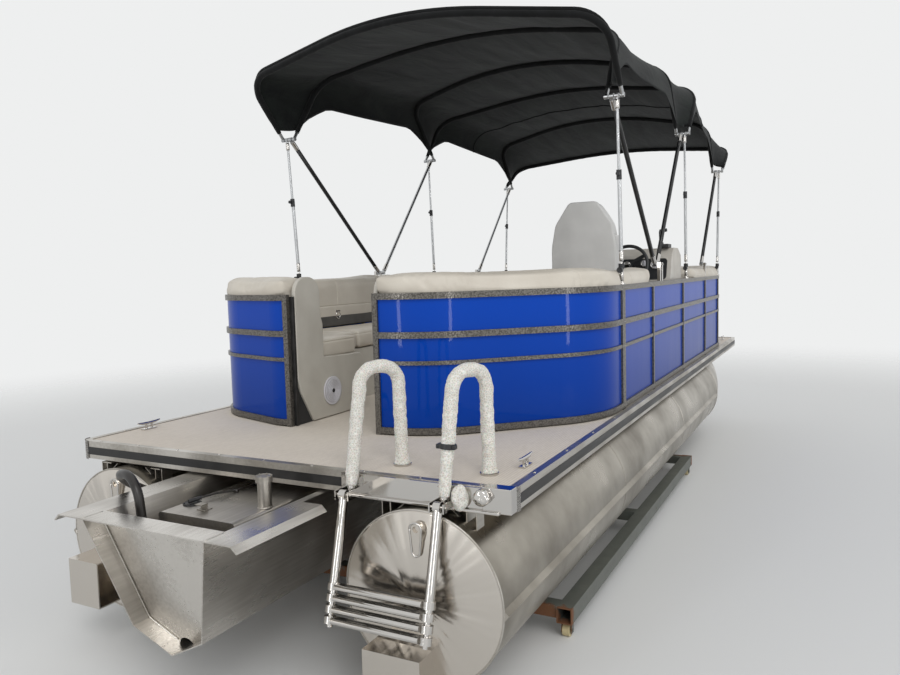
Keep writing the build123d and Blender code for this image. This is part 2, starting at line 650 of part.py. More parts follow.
console_y0, console_y1 = -1105, -515
console_profile = [(3300, 0), (3760, 0), (3790, 700), (3760, 900), (3640, 955), (3470, 955), (3400, 900),
                   (3330, 690), (3300, 640)]
dash_low, dash_high = (3337, 711), (3393, 879)
wheel_y = -800
dash_tilt = atan2(dash_high[0] - dash_low[0], dash_high[1] - dash_low[1])
wheel_axis = Vector(-cos(dash_tilt), 0, sin(dash_tilt))
wheel_r, rim_r, hub_r, shaft_r = 165, 13, 34, 10
wheel_reach = 112

with BuildPart() as helm_console:
    with BuildSketch(Plane.XZ.offset(-console_y1)):
        with BuildLine():
            Polyline(*[(fore(x), up(z)) for x, z in console_profile], close=True)
        make_face()
    extrude(amount=console_y1 - console_y0)
    fillet(edges().filter_by(Axis.Y).group_by(Axis.Z)[-1], 25)
dash_middle = Vector(fore((dash_low[0] + dash_high[0]) / 2), wheel_y, up((dash_low[1] + dash_high[1]) / 2))
dash_plane = Plane(origin=dash_middle, x_dir=(0, 1, 0), z_dir=wheel_axis)
save(helm_console, "helm_console")

with BuildPart() as helm_dash:
    with BuildSketch(dash_plane):
        with Locations((-10, 0)):
            RectangleRounded(530, 165, 24)
    extrude(amount=8)
    with BuildSketch(dash_plane.offset(8)):
        Circle(42)
    extrude(amount=26)
    with BuildSketch(dash_plane.offset(34)):
        Circle(shaft_r)
    extrude(amount=wheel_reach - 34)
save(helm_dash, "helm_dash")

with BuildPart() as steering_wheel:
    wheel_plane = dash_plane.offset(wheel_reach)
    with BuildSketch(Plane(origin=wheel_plane.origin, x_dir=wheel_axis, z_dir=(0, 1, 0))):
        with Locations((0, wheel_r - rim_r)):
            Circle(rim_r)
    revolve(axis=Axis(wheel_plane.origin, wheel_axis), revolution_arc=360)
    with BuildSketch(wheel_plane.offset(-18)):
        Circle(hub_r)
    extrude(amount=30)
    for angle in (90, 210, 330):
        with BuildSketch(wheel_plane.offset(-6)):
            with Locations(Rot(0, 0, angle) * Pos(wheel_r / 2, 0, 0)):
                Rectangle(wheel_r - 20, 26)
        extrude(amount=10)
    with BuildSketch(wheel_plane.offset(-60)):
        Circle(shaft_r + 0.05)
    extrude(amount=62, mode=Mode.SUBTRACT)
save(steering_wheel, "steering_wheel")

chair_x, chair_y, pedestal_top = 2830, -670, 330
spindle_r, spindle_length = 25, 75
back_rear, back_front, head_front, wing_front = -270, -165, -120, -40
wing_y, wing_top = 172, 1062        # the back's side wings stand ahead of its middle, below the head
back_outline = [(-228, 400), (-228, 960), (-220, 1020), (-200, 1115), (-168, 1160), (-98, 1268), (98, 1268),
                (168, 1160), (200, 1115), (220, 1020), (228, 960), (228, 400)]
with BuildPart() as chair_pedestal:
    with Locations((fore(chair_x), chair_y, up(6))):
        Cylinder(150, 12)
    with Locations((fore(chair_x), chair_y, up(pedestal_top / 2))):
        Cylinder(38, pedestal_top)
    with Locations((fore(chair_x), chair_y, up(pedestal_top - 40))):
        Cylinder(spindle_r + 0.05, 80.1, mode=Mode.SUBTRACT)
save(chair_pedestal, "chair_pedestal")

with BuildPart() as captain_chair:
    with Locations((fore(chair_x), chair_y, up(pedestal_top + 20 - spindle_length / 2))):
        Cylinder(spindle_r, spindle_length)
    block(chair_x - 120, chair_x + 120, chair_y - 120, chair_y + 120, pedestal_top + 6, pedestal_top + 22)
    block(chair_x - 230, chair_x + 235, chair_y - 228, chair_y + 228, pedestal_top + 22, 495)
    with BuildSketch(Plane(origin=(fore(chair_x + back_rear), chair_y, up(0)), x_dir=(0, 1, 0), z_dir=(1, 0, 0))):
        with BuildLine():
            Polyline(*back_outline, close=True)
        make_face()
    extrude(amount=wing_front - back_rear)
    block(chair_x + back_front, chair_x + wing_front + 1, chair_y - wing_y, chair_y + wing_y, 495, wing_top,
          mode=Mode.SUBTRACT)
    block(chair_x + head_front, chair_x + wing_front + 1, chair_y - 230, chair_y + 230, wing_top, 1270,
          mode=Mode.SUBTRACT)
    for sign in (-1, 1):
        y = chair_y + sign * 204
        block(chair_x + back_front, chair_x + 150, y - 24, y + 24, 640, 690)
        block(chair_x + 90, chair_x + 140, y - 24, y + 24, 490, 645)
save(captain_chair, "captain_chair")

# Bimini top: legs, bows and struts that fold together over the middle legs

leg_r, bow_tube_r, strut_r, pin_r = 12.5, 11, 11, 5
leg_lane, strut_lane, outer_lane, inner_lane = 1117, 1147, 1177, 1087
pivot_z = 828
# rail pivot x, corner x, corner z, strut foot x
leg_table = {
    "aft": (2750, 1690, 1750, 1753),
    "middle": (2812, 3700, 1845, 3750),
    "front": (4680, 5560, 1750, 5467),
}
# leg set, lane, crown x, crown z
bow_table = [
    ("aft", outer_lane, 1250, 2215),
    ("aft", inner_lane, 2120, 2365),
    ("middle", inner_lane, 3170, 2425),
    ("middle", outer_lane, 4130, 2400),
    ("front", inner_lane, 5130, 2320),
    ("front", outer_lane, 6150, 2130),
]
shoulder_share, apex_share, shoulder_bend, crown_bend = 0.72, 1.10, 190, 2600
strut_foot_z = 846


def rod(radius, start, end):
    """A round bar between two points given in deck coordinates."""
    a = Vector(fore(start[0]), start[1], up(start[2]))
    b = Vector(fore(end[0]), end[1], up(end[2]))
    with BuildSketch(Plane(origin=a, z_dir=b - a)) as section:
        Circle(radius)
    extrude(section.sketch, amount=(b - a).length)


def eye(x, y, z, outer, width):
    """The round end of a tube, on an axis along Y."""
    with Locations(Location((fore(x), y, up(z)), (90, 0, 0))):
        Cylinder(outer, width)


def pin_hole(x, y, z, width):
    """A running hole for a pivot pin."""
    with Locations(Location((fore(x), y, up(z)), (90, 0, 0))):
        Cylinder(pin_r + 0.05, width, mode=Mode.SUBTRACT)


def legs(pivot_x, corner_x, corner_z):
    """The port and starboard leg of one set, with the pin at each corner."""
    for sign in sides.values():
        y = sign * leg_lane
        rod(leg_r, (pivot_x, y, pivot_z), (corner_x, y, corner_z))
        eye(pivot_x, y, pivot_z, leg_r + 2, 2 * leg_r + 1)
        eye(corner_x, y, corner_z, leg_r + 2, 2 * leg_r + 1)
        pin_hole(pivot_x, y, pivot_z, 3 * leg_r)
        middle = sign * (inner_lane + outer_lane) / 2
        with Locations(Location((fore(corner_x), middle, up(corner_z)), (90, 0, 0))):
            Cylinder(pin_r, outer_lane - inner_lane + 2 * bow_tube_r + 4)


def struts(corner_x, corner_z, foot_x, hole=True):
    """The telescopic strut under each corner of one set."""
    for sign in sides.values():
        y = sign * strut_lane
        joint_z = (corner_z + strut_foot_z) / 2
        joint_x = (corner_x + foot_x) / 2
        rod(strut_r - 3, (joint_x, y, joint_z), (corner_x, y, corner_z))
        rod(strut_r, (foot_x, y, strut_foot_z), (joint_x, y, joint_z + 30))
        eye(corner_x, y, corner_z, strut_r + 2, 2 * strut_r + 1)
        if hole:
            pin_hole(corner_x, y, corner_z, 3 * strut_r)


with BuildPart() as bimini_mid_frame:
    pivot_x, corner_x, corner_z, foot_x = leg_table["middle"]
    legs(pivot_x, corner_x, corner_z)
    struts(corner_x, corner_z, foot_x, hole=False)
save(bimini_mid_frame, "bimini_mid_frame")

for set_name in ("aft", "front"):
    pivot_x, corner_x, corner_z, foot_x = leg_table[set_name]
    with BuildPart() as bimini_legs:
        legs(pivot_x, corner_x, corner_z)
    save(bimini_legs, f"bimini_legs_{set_name}")
    with BuildPart() as bimini_struts:
        struts(corner_x, corner_z, foot_x)
    save(bimini_struts, f"bimini_struts_{set_name}")

for number, (set_name, lane, crown_x, crown_z) in enumerate(bow_table):
    corner_x, corner_z = leg_table[set_name][1:3]
    rise = Vector(crown_x - corner_x, 0, crown_z - corner_z)
    height = rise.length
    bow_plane = Plane(origin=(fore(corner_x), 0, up(corner_z)), x_dir=(0, 1, 0),
                      z_dir=rise.cross(Vector(0, 1, 0)) * -1)
    with BuildPart() as bow:
        with BuildLine(bow_plane) as bow_line:
            FilletPolyline((-lane, 0), (-lane, shoulder_share * height), (0, apex_share * height),
                           (lane, shoulder_share * height), (lane, 0),
                           radius=[shoulder_bend, crown_bend, shoulder_bend])
        with BuildSketch(Plane(origin=bow_line.wire() @ 0, z_dir=bow_line.wire() % 0)):
            Circle(bow_tube_r)
        sweep(path=bow_line.wire())
        for sign in sides.values():
            eye(corner_x, sign * lane, corner_z, bow_tube_r + 2, 2 * bow_tube_r + 1)
            pin_hole(corner_x, sign * lane, corner_z, 3 * bow_tube_r)
    save(bow, f"bimini_bow_{number + 1}")

with BuildPart() as bimini_mounts:
    for sign in sides.values():
        y = sign * strut_lane
        for x in (leg_table["aft"][0], leg_table["middle"][0], leg_table["front"][0]):
            block(x - 14, x + 14, y - 10, y + 10, fence_top, pivot_z + 12)
            middle = sign * (leg_lane + strut_lane) / 2
            with Locations(Location((fore(x), middle, up(pivot_z)), (90, 0, 0))):
                Cylinder(pin_r, strut_lane - leg_lane + 34)
        for x in [row[3] for row in leg_table.values()]:
            with Locations((fore(x), y, up((fence_top + strut_foot_z - 6) / 2))):
                Cylinder(9, strut_foot_z - 6 - fence_top)
            with Locations((fore(x), y, up(fence_top + 5))):
                Cylinder(17, 10)
save(bimini_mounts, "bimini_mounts")

# Canopy cloth over the bows

cloth_gaps = (13.5, 17.5)       # from the bows' middle lines to the cloth's two faces
cloth_skirt, cloth_shoulder = 165, 150
with BuildPart() as canopy:
    for set_name, lane, crown_x, crown_z in bow_table:
        corner_x, corner_z = leg_table[set_name][1:3]
        rise = Vector(crown_x - corner_x, 0, crown_z - corner_z)
        height = rise.length
        with BuildSketch(Plane(origin=(fore(corner_x), 0, up(corner_z)), x_dir=(0, 1, 0),
                               z_dir=rise.cross(Vector(0, 1, 0)) * -1)):
            with BuildLine():
                lines = []
                for side_gap in cloth_gaps:
                    gap = side_gap * height / rise.Z
                    half = outer_lane + side_gap
                    shoulder = shoulder_share * height + gap
                    low = shoulder_share * height - cloth_skirt
                    apex = apex_share * height + gap
                    bend = cloth_shoulder + side_gap
                    lines.append(FilletPolyline((-half, low), (-half, shoulder), (0, apex), (half, shoulder),
                                                (half, low), radius=[bend, crown_bend + gap, bend]))
                Line(lines[0] @ 0, lines[1] @ 0)
                Line(lines[0] @ 1, lines[1] @ 1)
            make_face()
    loft(ruled=True)
save(canopy, "canopy")

# Yard cradle: rails and cross beams on four casters

cradle_rail_y, cradle_rail_width = 1112, 76
cradle_x0, cradle_x1 = 780, 3990
cradle_beams = [830, 2350, 3940]
cradle_top = -tube_drop - tube_r
cradle_low = cradle_top - cradle_rail_height
caster_xs = (830, 3940)
wheel_radius, wheel_width, axle_r = 31, 34, 6
with BuildPart() as cradle:
    for sign in sides.values():
        y = sign * cradle_rail_y
        block(cradle_x0, cradle_x1, y - cradle_rail_width / 2, y + cradle_rail_width / 2, cradle_low, cradle_top)
        block(cradle_x0 - 1, cradle_x1 + 1, y - cradle_rail_width / 2 + 5, y + cradle_rail_width / 2 - 5,
              cradle_low + 5, cradle_top - 5, mode=Mode.SUBTRACT)
    for x in cradle_beams:
        reach = cradle_rail_y - cradle_rail_width / 2
        block(x - 38, x + 38, -reach, reach, cradle_top - 60, cradle_top)
    for x in caster_xs:
        for sign in sides.values():
            y = sign * cradle_rail_y
            block(x - 40, x + 40, y - 32, y + 32, cradle_low - 5, cradle_low)
            for shift in (-24, 24):
                block(x - 16, x + 16, y + shift - 2, y + shift + 2, cradle_low - 60, cradle_low - 5)
            with Locations(Location((fore(x), y, wheel_radius), (90, 0, 0))):
                Cylinder(axle_r, 58)
save(cradle, "cradle")

for end_name, x in zip(("aft", "front"), caster_xs):
    for side_name, sign in sides.items():
        with BuildPart() as caster_wheel:
            with Locations(Location((fore(x), sign * cradle_rail_y, wheel_radius), (90, 0, 0))):
                Cylinder(wheel_radius, wheel_width)
                Cylinder(axle_r + 0.05, wheel_width + 2, mode=Mode.SUBTRACT)
        save(caster_wheel, f"caster_wheel_{end_name}_{side_name}")
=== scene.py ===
"""Looks of the pontoon boat: soft goods, trim, finishes, lights and camera."""
import math

import bmesh
import bpy
from mathutils import Matrix, Vector, noise


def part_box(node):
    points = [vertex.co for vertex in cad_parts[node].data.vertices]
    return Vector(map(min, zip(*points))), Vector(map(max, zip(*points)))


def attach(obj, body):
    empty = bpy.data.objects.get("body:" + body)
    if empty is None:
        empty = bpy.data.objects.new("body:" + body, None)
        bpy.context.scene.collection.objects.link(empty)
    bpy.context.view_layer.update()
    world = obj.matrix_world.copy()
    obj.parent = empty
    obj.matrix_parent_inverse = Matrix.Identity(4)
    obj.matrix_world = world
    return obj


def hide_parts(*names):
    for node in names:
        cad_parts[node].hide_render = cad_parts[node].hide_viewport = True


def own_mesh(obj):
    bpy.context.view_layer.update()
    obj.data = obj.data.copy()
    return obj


bl_info = {
    "name": "Pontoon boat looks",
    "version": (1, 0, 0),
    "blender": (4, 5, 0),
    "location": "3D View > Sidebar > Boat",
    "description": "Dresses the packed pontoon boat with its upholstery, canopy, trim and finishes",
    "category": "Object",
}

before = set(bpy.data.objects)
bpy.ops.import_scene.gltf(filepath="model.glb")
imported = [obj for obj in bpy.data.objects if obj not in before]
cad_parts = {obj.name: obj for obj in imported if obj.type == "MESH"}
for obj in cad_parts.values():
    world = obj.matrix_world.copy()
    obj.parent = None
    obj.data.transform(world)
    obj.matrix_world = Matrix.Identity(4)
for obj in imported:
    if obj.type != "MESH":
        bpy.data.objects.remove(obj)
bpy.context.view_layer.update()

STERN_X, DECK_TOP = -2922.5, 940.0              # the deck's rear edge and its top, in millimetres
TUBE_Y, TUBE_Z, TUBE_R = 834.0, -441.0, 345.0   # a pontoon's middle, from the boat's middle and the deck, and radius
CAP_X = (STERN_X - 70) / 1000                   # where a pontoon's cap starts, in metres
CRADLE_MIDDLE_X = -0.5375                       # the middle of the cradle's rails, in metres
PANEL_BLUE = "#023EA4"
FORE, PORT, UP = Vector((1, 0, 0)), Vector((0, 1, 0)), Vector((0, 0, 1))
SIDES = ((1, "port"), (-1, "starboard"))


def at(x, y, z):
    """A point given in deck millimetres: ahead of the rear edge, to port, above the deck."""
    return Vector(((x + STERN_X) / 1000, y / 1000, (z + DECK_TOP) / 1000))


# Materials -----------------------------------------------------------------


def linear(hex_colour):
    """An sRGB hex colour as the linear values that a shader needs."""
    values = [int(hex_colour[i:i + 2], 16) / 255 for i in (1, 3, 5)]
    return tuple(v / 12.92 if v <= 0.04045 else ((v + 0.055) / 1.055) ** 2.4 for v in values) + (1.0,)


def add(tree, kind, inputs=None, out=0, **settings):
    """Add one shader node; an input is a value or another node's output. Gives the output named out."""
    made = tree.nodes.new("ShaderNode" + kind)
    for name, value in settings.items():
        setattr(made, name, value)
    for socket, value in (inputs or {}).items():
        if isinstance(value, bpy.types.NodeSocket):
            tree.links.new(value, made.inputs[socket])
        else:
            made.inputs[socket].default_value = value
    return made.outputs[out]


def maths(tree, operation, *values):
    """One sum over one or two values."""
    return add(tree, "Math", dict(enumerate(values)), operation=operation)


def stretched(tree, place, *scale):
    """Coordinates scaled along each axis; below 1, a pattern is drawn out that way."""
    return add(tree, "Mapping", {"Vector": place, "Scale": scale})


def spots(tree, place, size, detail=3.0, **more):
    """Noise whose spots are about size millimetres across."""
    return add(tree, "TexNoise", {"Vector": place, "Scale": 1000 / size, "Detail": detail, **more})


def spread(tree, value, low, high, to_low=0.0, to_high=1.0):
    """A value between two limits, spread over a new range."""
    return add(tree, "MapRange", {"Value": value, "From Min": low, "From Max": high, "To Min": to_low,
                                  "To Max": to_high})


def blend(tree, share, *colours):
    """Two colours mixed by share; each is a hex colour, linear values or another node's output."""
    first, second = (linear(colour) if isinstance(colour, str) else colour for colour in colours)
    return add(tree, "Mix", {0: share, 6: first, 7: second}, 2, data_type="RGBA")


def bump(tree, height, distance, strength, **over):
    """Relief in the shading, over an earlier one where Normal is given."""
    return add(tree, "Bump", {"Height": height, "Distance": distance, "Strength": strength, **over})


def begin(name, colour, roughness, metallic=0.0, **sockets):
    """A material whose shader holds these values, with its tree and its Object coordinates."""
    material = bpy.data.materials.new(name)
    material.use_nodes = True
    values = {"Base_Color": linear(colour), "Roughness": roughness, "Metallic": metallic, **sockets}
    for socket, value in values.items():
        material.node_tree.nodes["Principled BSDF"].inputs[socket.replace("_", " ")].default_value = value
    material.diffuse_color = linear(colour)
    return material, material.node_tree, add(material.node_tree, "TexCoord", out="Object")


def end(material, **sockets):
    """Link outputs to the sockets of a material's shader, and hand the material over."""
    tree = material.node_tree
    for socket, output in sockets.items():
        tree.links.new(output, tree.nodes["Principled BSDF"].inputs[socket.replace("_", " ")])
    return material


def rolled_aluminium(name, light, dark, roughness):
    """Marine aluminium, cold-rolled and left in its mill finish. The eye gets a broad soft sheen, faint 14 mm streaks
    along the roll, and cloudy marks a hand wide where it was handled."""
    made, tree, place = begin(name, light, roughness, 1.0)
    streaks = spots(tree, stretched(tree, place, 0.05, 1, 1), 14, 2.0)
    clouds = spots(tree, place, 260, 1.0)
    both = maths(tree, "ADD", clouds, maths(tree, "MULTIPLY", streaks, 0.35))
    tone = blend(tree, spread(tree, both, 0.5, 0.9), light, dark)
    rough = spread(tree, both, 0.5, 0.9, roughness - 0.06, roughness + 0.12)
    swells = bump(tree, clouds, 0.0016, 0.35)
    grain = bump(tree, streaks, 0.0001, 0.12, Normal=swells)
    return end(made, Base_Color=tone, Roughness=rough, Normal=grain)


def pontoon_aluminium(name):
    """Aluminium tube rolled from sheet, with a pressed cap buffed by hand. The tube has the sheet's streaks and
    shallow dents; the cap is brighter, and its smears fan out from the middle as the buffing wheel left them."""
    made, tree, place = begin(name, "#AFA99F", 0.3, 1.0)
    parts = add(tree, "SeparateXYZ", {0: place}).node.outputs
    aft = spread(tree, parts[0], CAP_X - 0.001, CAP_X + 0.001, 1.0, 0.0)
    beside = maths(tree, "SUBTRACT", maths(tree, "ABSOLUTE", parts[1]), TUBE_Y / 1000)
    above = maths(tree, "SUBTRACT", parts[2], (TUBE_Z + DECK_TOP) / 1000)
    spoke = add(tree, "CombineXYZ", {0: beside, 1: above})
    reach = add(tree, "VectorMath", {0: spoke}, "Value", operation="LENGTH")
    heading = add(tree, "VectorMath", {0: add(tree, "VectorMath", {0: spoke}, operation="NORMALIZE"),
                                       1: (2.6, 2.6, 1.0)}, operation="MULTIPLY")
    fan = add(tree, "VectorMath", {0: heading, 1: add(tree, "CombineXYZ", {2: reach})}, operation="ADD")
    smears = spots(tree, fan, 1000, 2.0)
    outward = spread(tree, reach, 0.02, 0.2)
    fanned = maths(tree, "MULTIPLY", smears, maths(tree, "MULTIPLY", outward, aft))
    streaks = spots(tree, stretched(tree, place, 0.05, 1, 1), 16)
    clouds = spots(tree, place, 330, 4.0)
    dull = spread(tree, clouds, 0.3, 0.7, 0.24, 0.4)
    buffed = spread(tree, smears, 0.3, 0.7, 0.12, 0.24)
    rough = add(tree, "Mix", {0: aft, 2: dull, 3: buffed})
    tube = blend(tree, spread(tree, clouds, 0.35, 0.75), "#AEA89D", "#7D776D")
    tone = blend(tree, aft, tube, "#CFC9C1")
    cap_waves = bump(tree, fanned, 0.022, 0.45)
    dents = bump(tree, clouds, 0.003, 0.35, Normal=cap_waves)
    grain = bump(tree, streaks, 0.00014, 0.3, Normal=dents)
    return end(made, Base_Color=tone, Roughness=rough, Normal=grain)


def polished_steel(name):
    """Stainless tube and plate, mirror-polished. Crisp bright reflections, dulled in patches by handling."""
    made, tree, place = begin(name, "#C9C6C2", 0.09, 1.0)
    haze = spots(tree, place, 80, 1.0)
    return end(made, Roughness=spread(tree, haze, 0.35, 0.75, 0.05, 0.18), Normal=bump(tree, haze, 0.0002, 0.2))


def anodised_tube(name):
    """Extruded aluminium tube, bright-dipped and clear anodised. Silvery, and softer than steel."""
    made, tree, place = begin(name, "#CBCBCA", 0.24, 1.0)
    haze = spots(tree, place, 90, 2.0)
    rough = spread(tree, haze, 0.3, 0.7, 0.26, 0.36)
    return end(made, Base_Color=blend(tree, haze, "#C2C3C4", "#A6A8AA"), Roughness=rough)


def hammertone(name):
    """Hammertone powder coat on aluminium tube. Its metallic skin pulls into 3 mm cells, drawn at 7 mm so that they
    show: pale dimples in a darker grey net."""
    made, tree, place = begin(name, "#67635E", 0.32, 0.75)
    cells = add(tree, "TexVoronoi", {"Vector": place, "Scale": 1000 / 7}, "Distance", feature="SMOOTH_F1")
    tone = blend(tree, spread(tree, cells, 0.15, 0.6), "#7F7B75", "#504D49")
    rough = spread(tree, cells, 0.1, 0.6, 0.24, 0.42)
    return end(made, Base_Color=tone, Roughness=rough, Normal=bump(tree, cells, 0.0006, 0.4))


def lacquered_sheet(name, colour):
    """Aluminium sheet, coil-painted and lacquered. A deep wet gloss whose slow ripples, a foot apart, draw reflections
    into upright streaks. The colour is painted darker low down and a little lighter towards the top: painted shading,
    as light from above would fall on it."""
    made, tree, place = begin(name, PANEL_BLUE, 0.3, 0.0, Specular_IOR_Level=0.03, Coat_Weight=0.22,
                              Coat_Roughness=0.03)
    ripples = spots(tree, stretched(tree, place, 1, 1, 0.22), 300, 2.0)
    # Painted shading: the blue is scaled darker towards the foot of the sheet and lighter towards its top
    share = spread(tree, add(tree, "SeparateXYZ", {0: place}, 2), 0.95, 1.66)
    tone = blend(tree, share, *([part * scale for part in colour] + [1.0] for scale in (0.7, 1.15)))
    waves = bump(tree, ripples, 0.008, 0.35)
    return end(made, Base_Color=tone, Normal=waves, Coat_Normal=waves)


def woven_floor(name):
    """Woven vinyl floor. Matt ribs of twisted yarn along the boat, 2 mm apart and drawn at 13 mm so that they show,
    with paler threads among the warm grey ones."""
    made, tree, place = begin(name, "#BBB2A6", 0.78, 0.0, Specular_IOR_Level=0.3)
    ribs = add(tree, "TexWave", {"Vector": place, "Scale": 100 * math.pi / 13, "Distortion": 0.6, "Detail": 1.0,
                                 "Detail Scale": 3.0}, "Fac", bands_direction="Y")
    knots = spots(tree, stretched(tree, place, 0.3, 1, 1), 11)
    stains = spots(tree, place, 700, 4.0)
    share = add(tree, "Mix", {0: 0.6, 2: ribs, 3: knots})
    yarn = blend(tree, share, "#BBB1A4", "#E0D7CA")
    tone = blend(tree, spread(tree, stains, 0.4, 0.7, 0.0, 0.4), yarn, "#DCD3C6")
    return end(made, Base_Color=tone, Normal=bump(tree, share, 0.0007, 0.45))


def marine_vinyl(name, colour, shade):
    """Foam-backed marine vinyl. A low even sheen over a leather grain of 3 mm, and a slow drift of tone where
    the padding swells."""
    made, tree, place = begin(name, colour, 0.46, 0.0, Specular_IOR_Level=0.4, Coat_Weight=0.06, Coat_Roughness=0.4)
    grain = add(tree, "TexVoronoi", {"Vector": place, "Scale": 1000 / 3}, "Distance", feature="DISTANCE_TO_EDGE")
    drift = spots(tree, place, 240)
    tone = blend(tree, spread(tree, drift, 0.3, 0.75), colour, shade)
    rough = spread(tree, drift, 0.3, 0.7, 0.38, 0.54)
    leather = bump(tree, grain, 0.0003, 0.3, Normal=bump(tree, drift, 0.004, 0.3))
    return end(made, Base_Color=tone, Roughness=rough, Normal=leather)


def moulded_plastic(name, colour, shade, roughness):
    """Rotomoulded polyethylene or injection-moulded ABS. An even body colour under a fine 4 mm orange peel."""
    made, tree, place = begin(name, colour, roughness)
    drift = spots(tree, place, 170)
    tone = blend(tree, spread(tree, drift, 0.3, 0.75), colour, shade)
    rough = spread(tree, drift, 0.3, 0.7, roughness - 0.06, roughness + 0.08)
    return end(made, Base_Color=tone, Roughness=rough, Normal=bump(tree, spots(tree, place, 4, 2.0), 0.0002, 0.35))


def black_rubber(name, colour, roughness):
    """Extruded PVC and rubber. Satin black, with grey dust drawn out along it."""
    made, tree, place = begin(name, colour, roughness)
    dust = spots(tree, stretched(tree, place, 0.15, 1, 1), 70, 4.0, Roughness=0.6)
    tone = blend(tree, spread(tree, dust, 0.45, 0.85, 0.0, 0.5), colour, "#403E3C")
    rough = spread(tree, dust, 0.3, 0.8, roughness - 0.08, roughness + 0.2)
    return end(made, Base_Color=tone, Roughness=rough)


def canvas(name, colour, shade):
    """Solution-dyed acrylic canvas. Matt charcoal cloth of 1 mm threads, drawn at 6 mm so that they show, with soft
    creases that run fore and aft from bow to bow."""
    made, tree, place = begin(name, colour, 0.85, 0.0, Specular_IOR_Level=0.2, Sheen_Weight=0.08, Sheen_Roughness=0.5)
    drawn = add(tree, "Mapping", {"Vector": place, "Scale": (0.4, 1.5, 1.0), "Rotation": (0, 0, 0.25)})
    creases = spots(tree, drawn, 190, 5.0, Roughness=0.6, Distortion=0.6)
    warp, weft = (add(tree, "TexWave", {"Vector": place, "Scale": 100 * math.pi / 6}, "Fac", bands_direction=way)
                  for way in "XY")
    tone = blend(tree, spread(tree, creases, 0.35, 0.7), colour, shade)
    folds = bump(tree, creases, 0.022, 0.5)
    weave = bump(tree, maths(tree, "ADD", warp, weft), 0.0004, 0.3, Normal=folds)
    return end(made, Base_Color=tone, Normal=weave)


def foam_net(name):
    """Expanded polyethylene net, pulled over the rails as packing. White cords round small cells, a little grubby."""
    made, tree, place = begin(name, "#DAD7CE", 0.7, 0.0, Specular_IOR_Level=0.4, Subsurface_Weight=0.1)
    cells = add(tree, "TexVoronoi", {"Vector": place, "Scale": 1000 / 10}, "Distance", feature="DISTANCE_TO_EDGE")
    cords = spread(tree, cells, 0.0, 0.2, 1.0, 0.0)
    share = add(tree, "Mix", {0: 0.35, 2: cords, 3: spots(tree, place, 60)})
    tone = blend(tree, share, "#BDB9AE", "#F3F1EA")
    return end(made, Base_Color=tone, Normal=bump(tree, cords, 0.0025, 0.6))


def painted_steel(name):
    """Box steel, brushed with grey paint. Semi-matt and scuffed, and the sawn rail ends have rusted brown."""
    made, tree, place = begin(name, "#5C5E58", 0.5, 0.1)
    patches = spots(tree, place, 80, 5.0, Roughness=0.65)
    along = add(tree, "SeparateXYZ", {0: place}, 0)
    off = maths(tree, "ABSOLUTE", maths(tree, "SUBTRACT", along, CRADLE_MIDDLE_X))
    ends = spread(tree, off, 1.53, 1.605, 0.0, 0.4)
    rust = spread(tree, maths(tree, "ADD", patches, ends), 0.66, 0.76)
    tone = blend(tree, rust, blend(tree, patches, "#666962", "#474A45"), "#6E4A31")
    scuffs = bump(tree, patches, 0.0008, 0.4)
    return end(made, Base_Color=tone, Roughness=spread(tree, rust, 0.0, 1.0, 0.42, 0.85), Normal=scuffs)


materials = {}
# The CAD nodes that each finish covers, by how their names begin; the longest beginning that fits counts.
COVERED = {
    "base": "lounge", "blue": "fence_skin bow_gate_skin", "canvas": "canopy", "caster": "caster_wheel",
    "cradle": "cradle", "dash": "helm_dash steering_wheel", "floor": "deck_board", "foam": "foam_sleeves",
    "extrusion": "deck_channels deck_risers rub_rail chair_pedestal", "gelcoat": "helm_console",
    "hammertone": "fence_aft fence_side bow_gate_frame", "hose": "rigging_hose", "pontoon": "pontoon",
    "rubber": "rub_rail_rubber", "sheet": "centre_pod fuel_tank", "tube": "bimini", "vinyl": "backrests seat",
    "steel": "stern_channel cleats grab_rails ladder bimini_mounts", "vinyl_light": "captain_chair",
}


class BoatFinishSettings(bpy.types.PropertyGroup):
    panel: bpy.props.FloatVectorProperty(name="Panel blue", description="Body colour of the fence sheets",
                                         subtype="COLOR", default=linear(PANEL_BLUE)[:3], min=0.0, max=1.0)


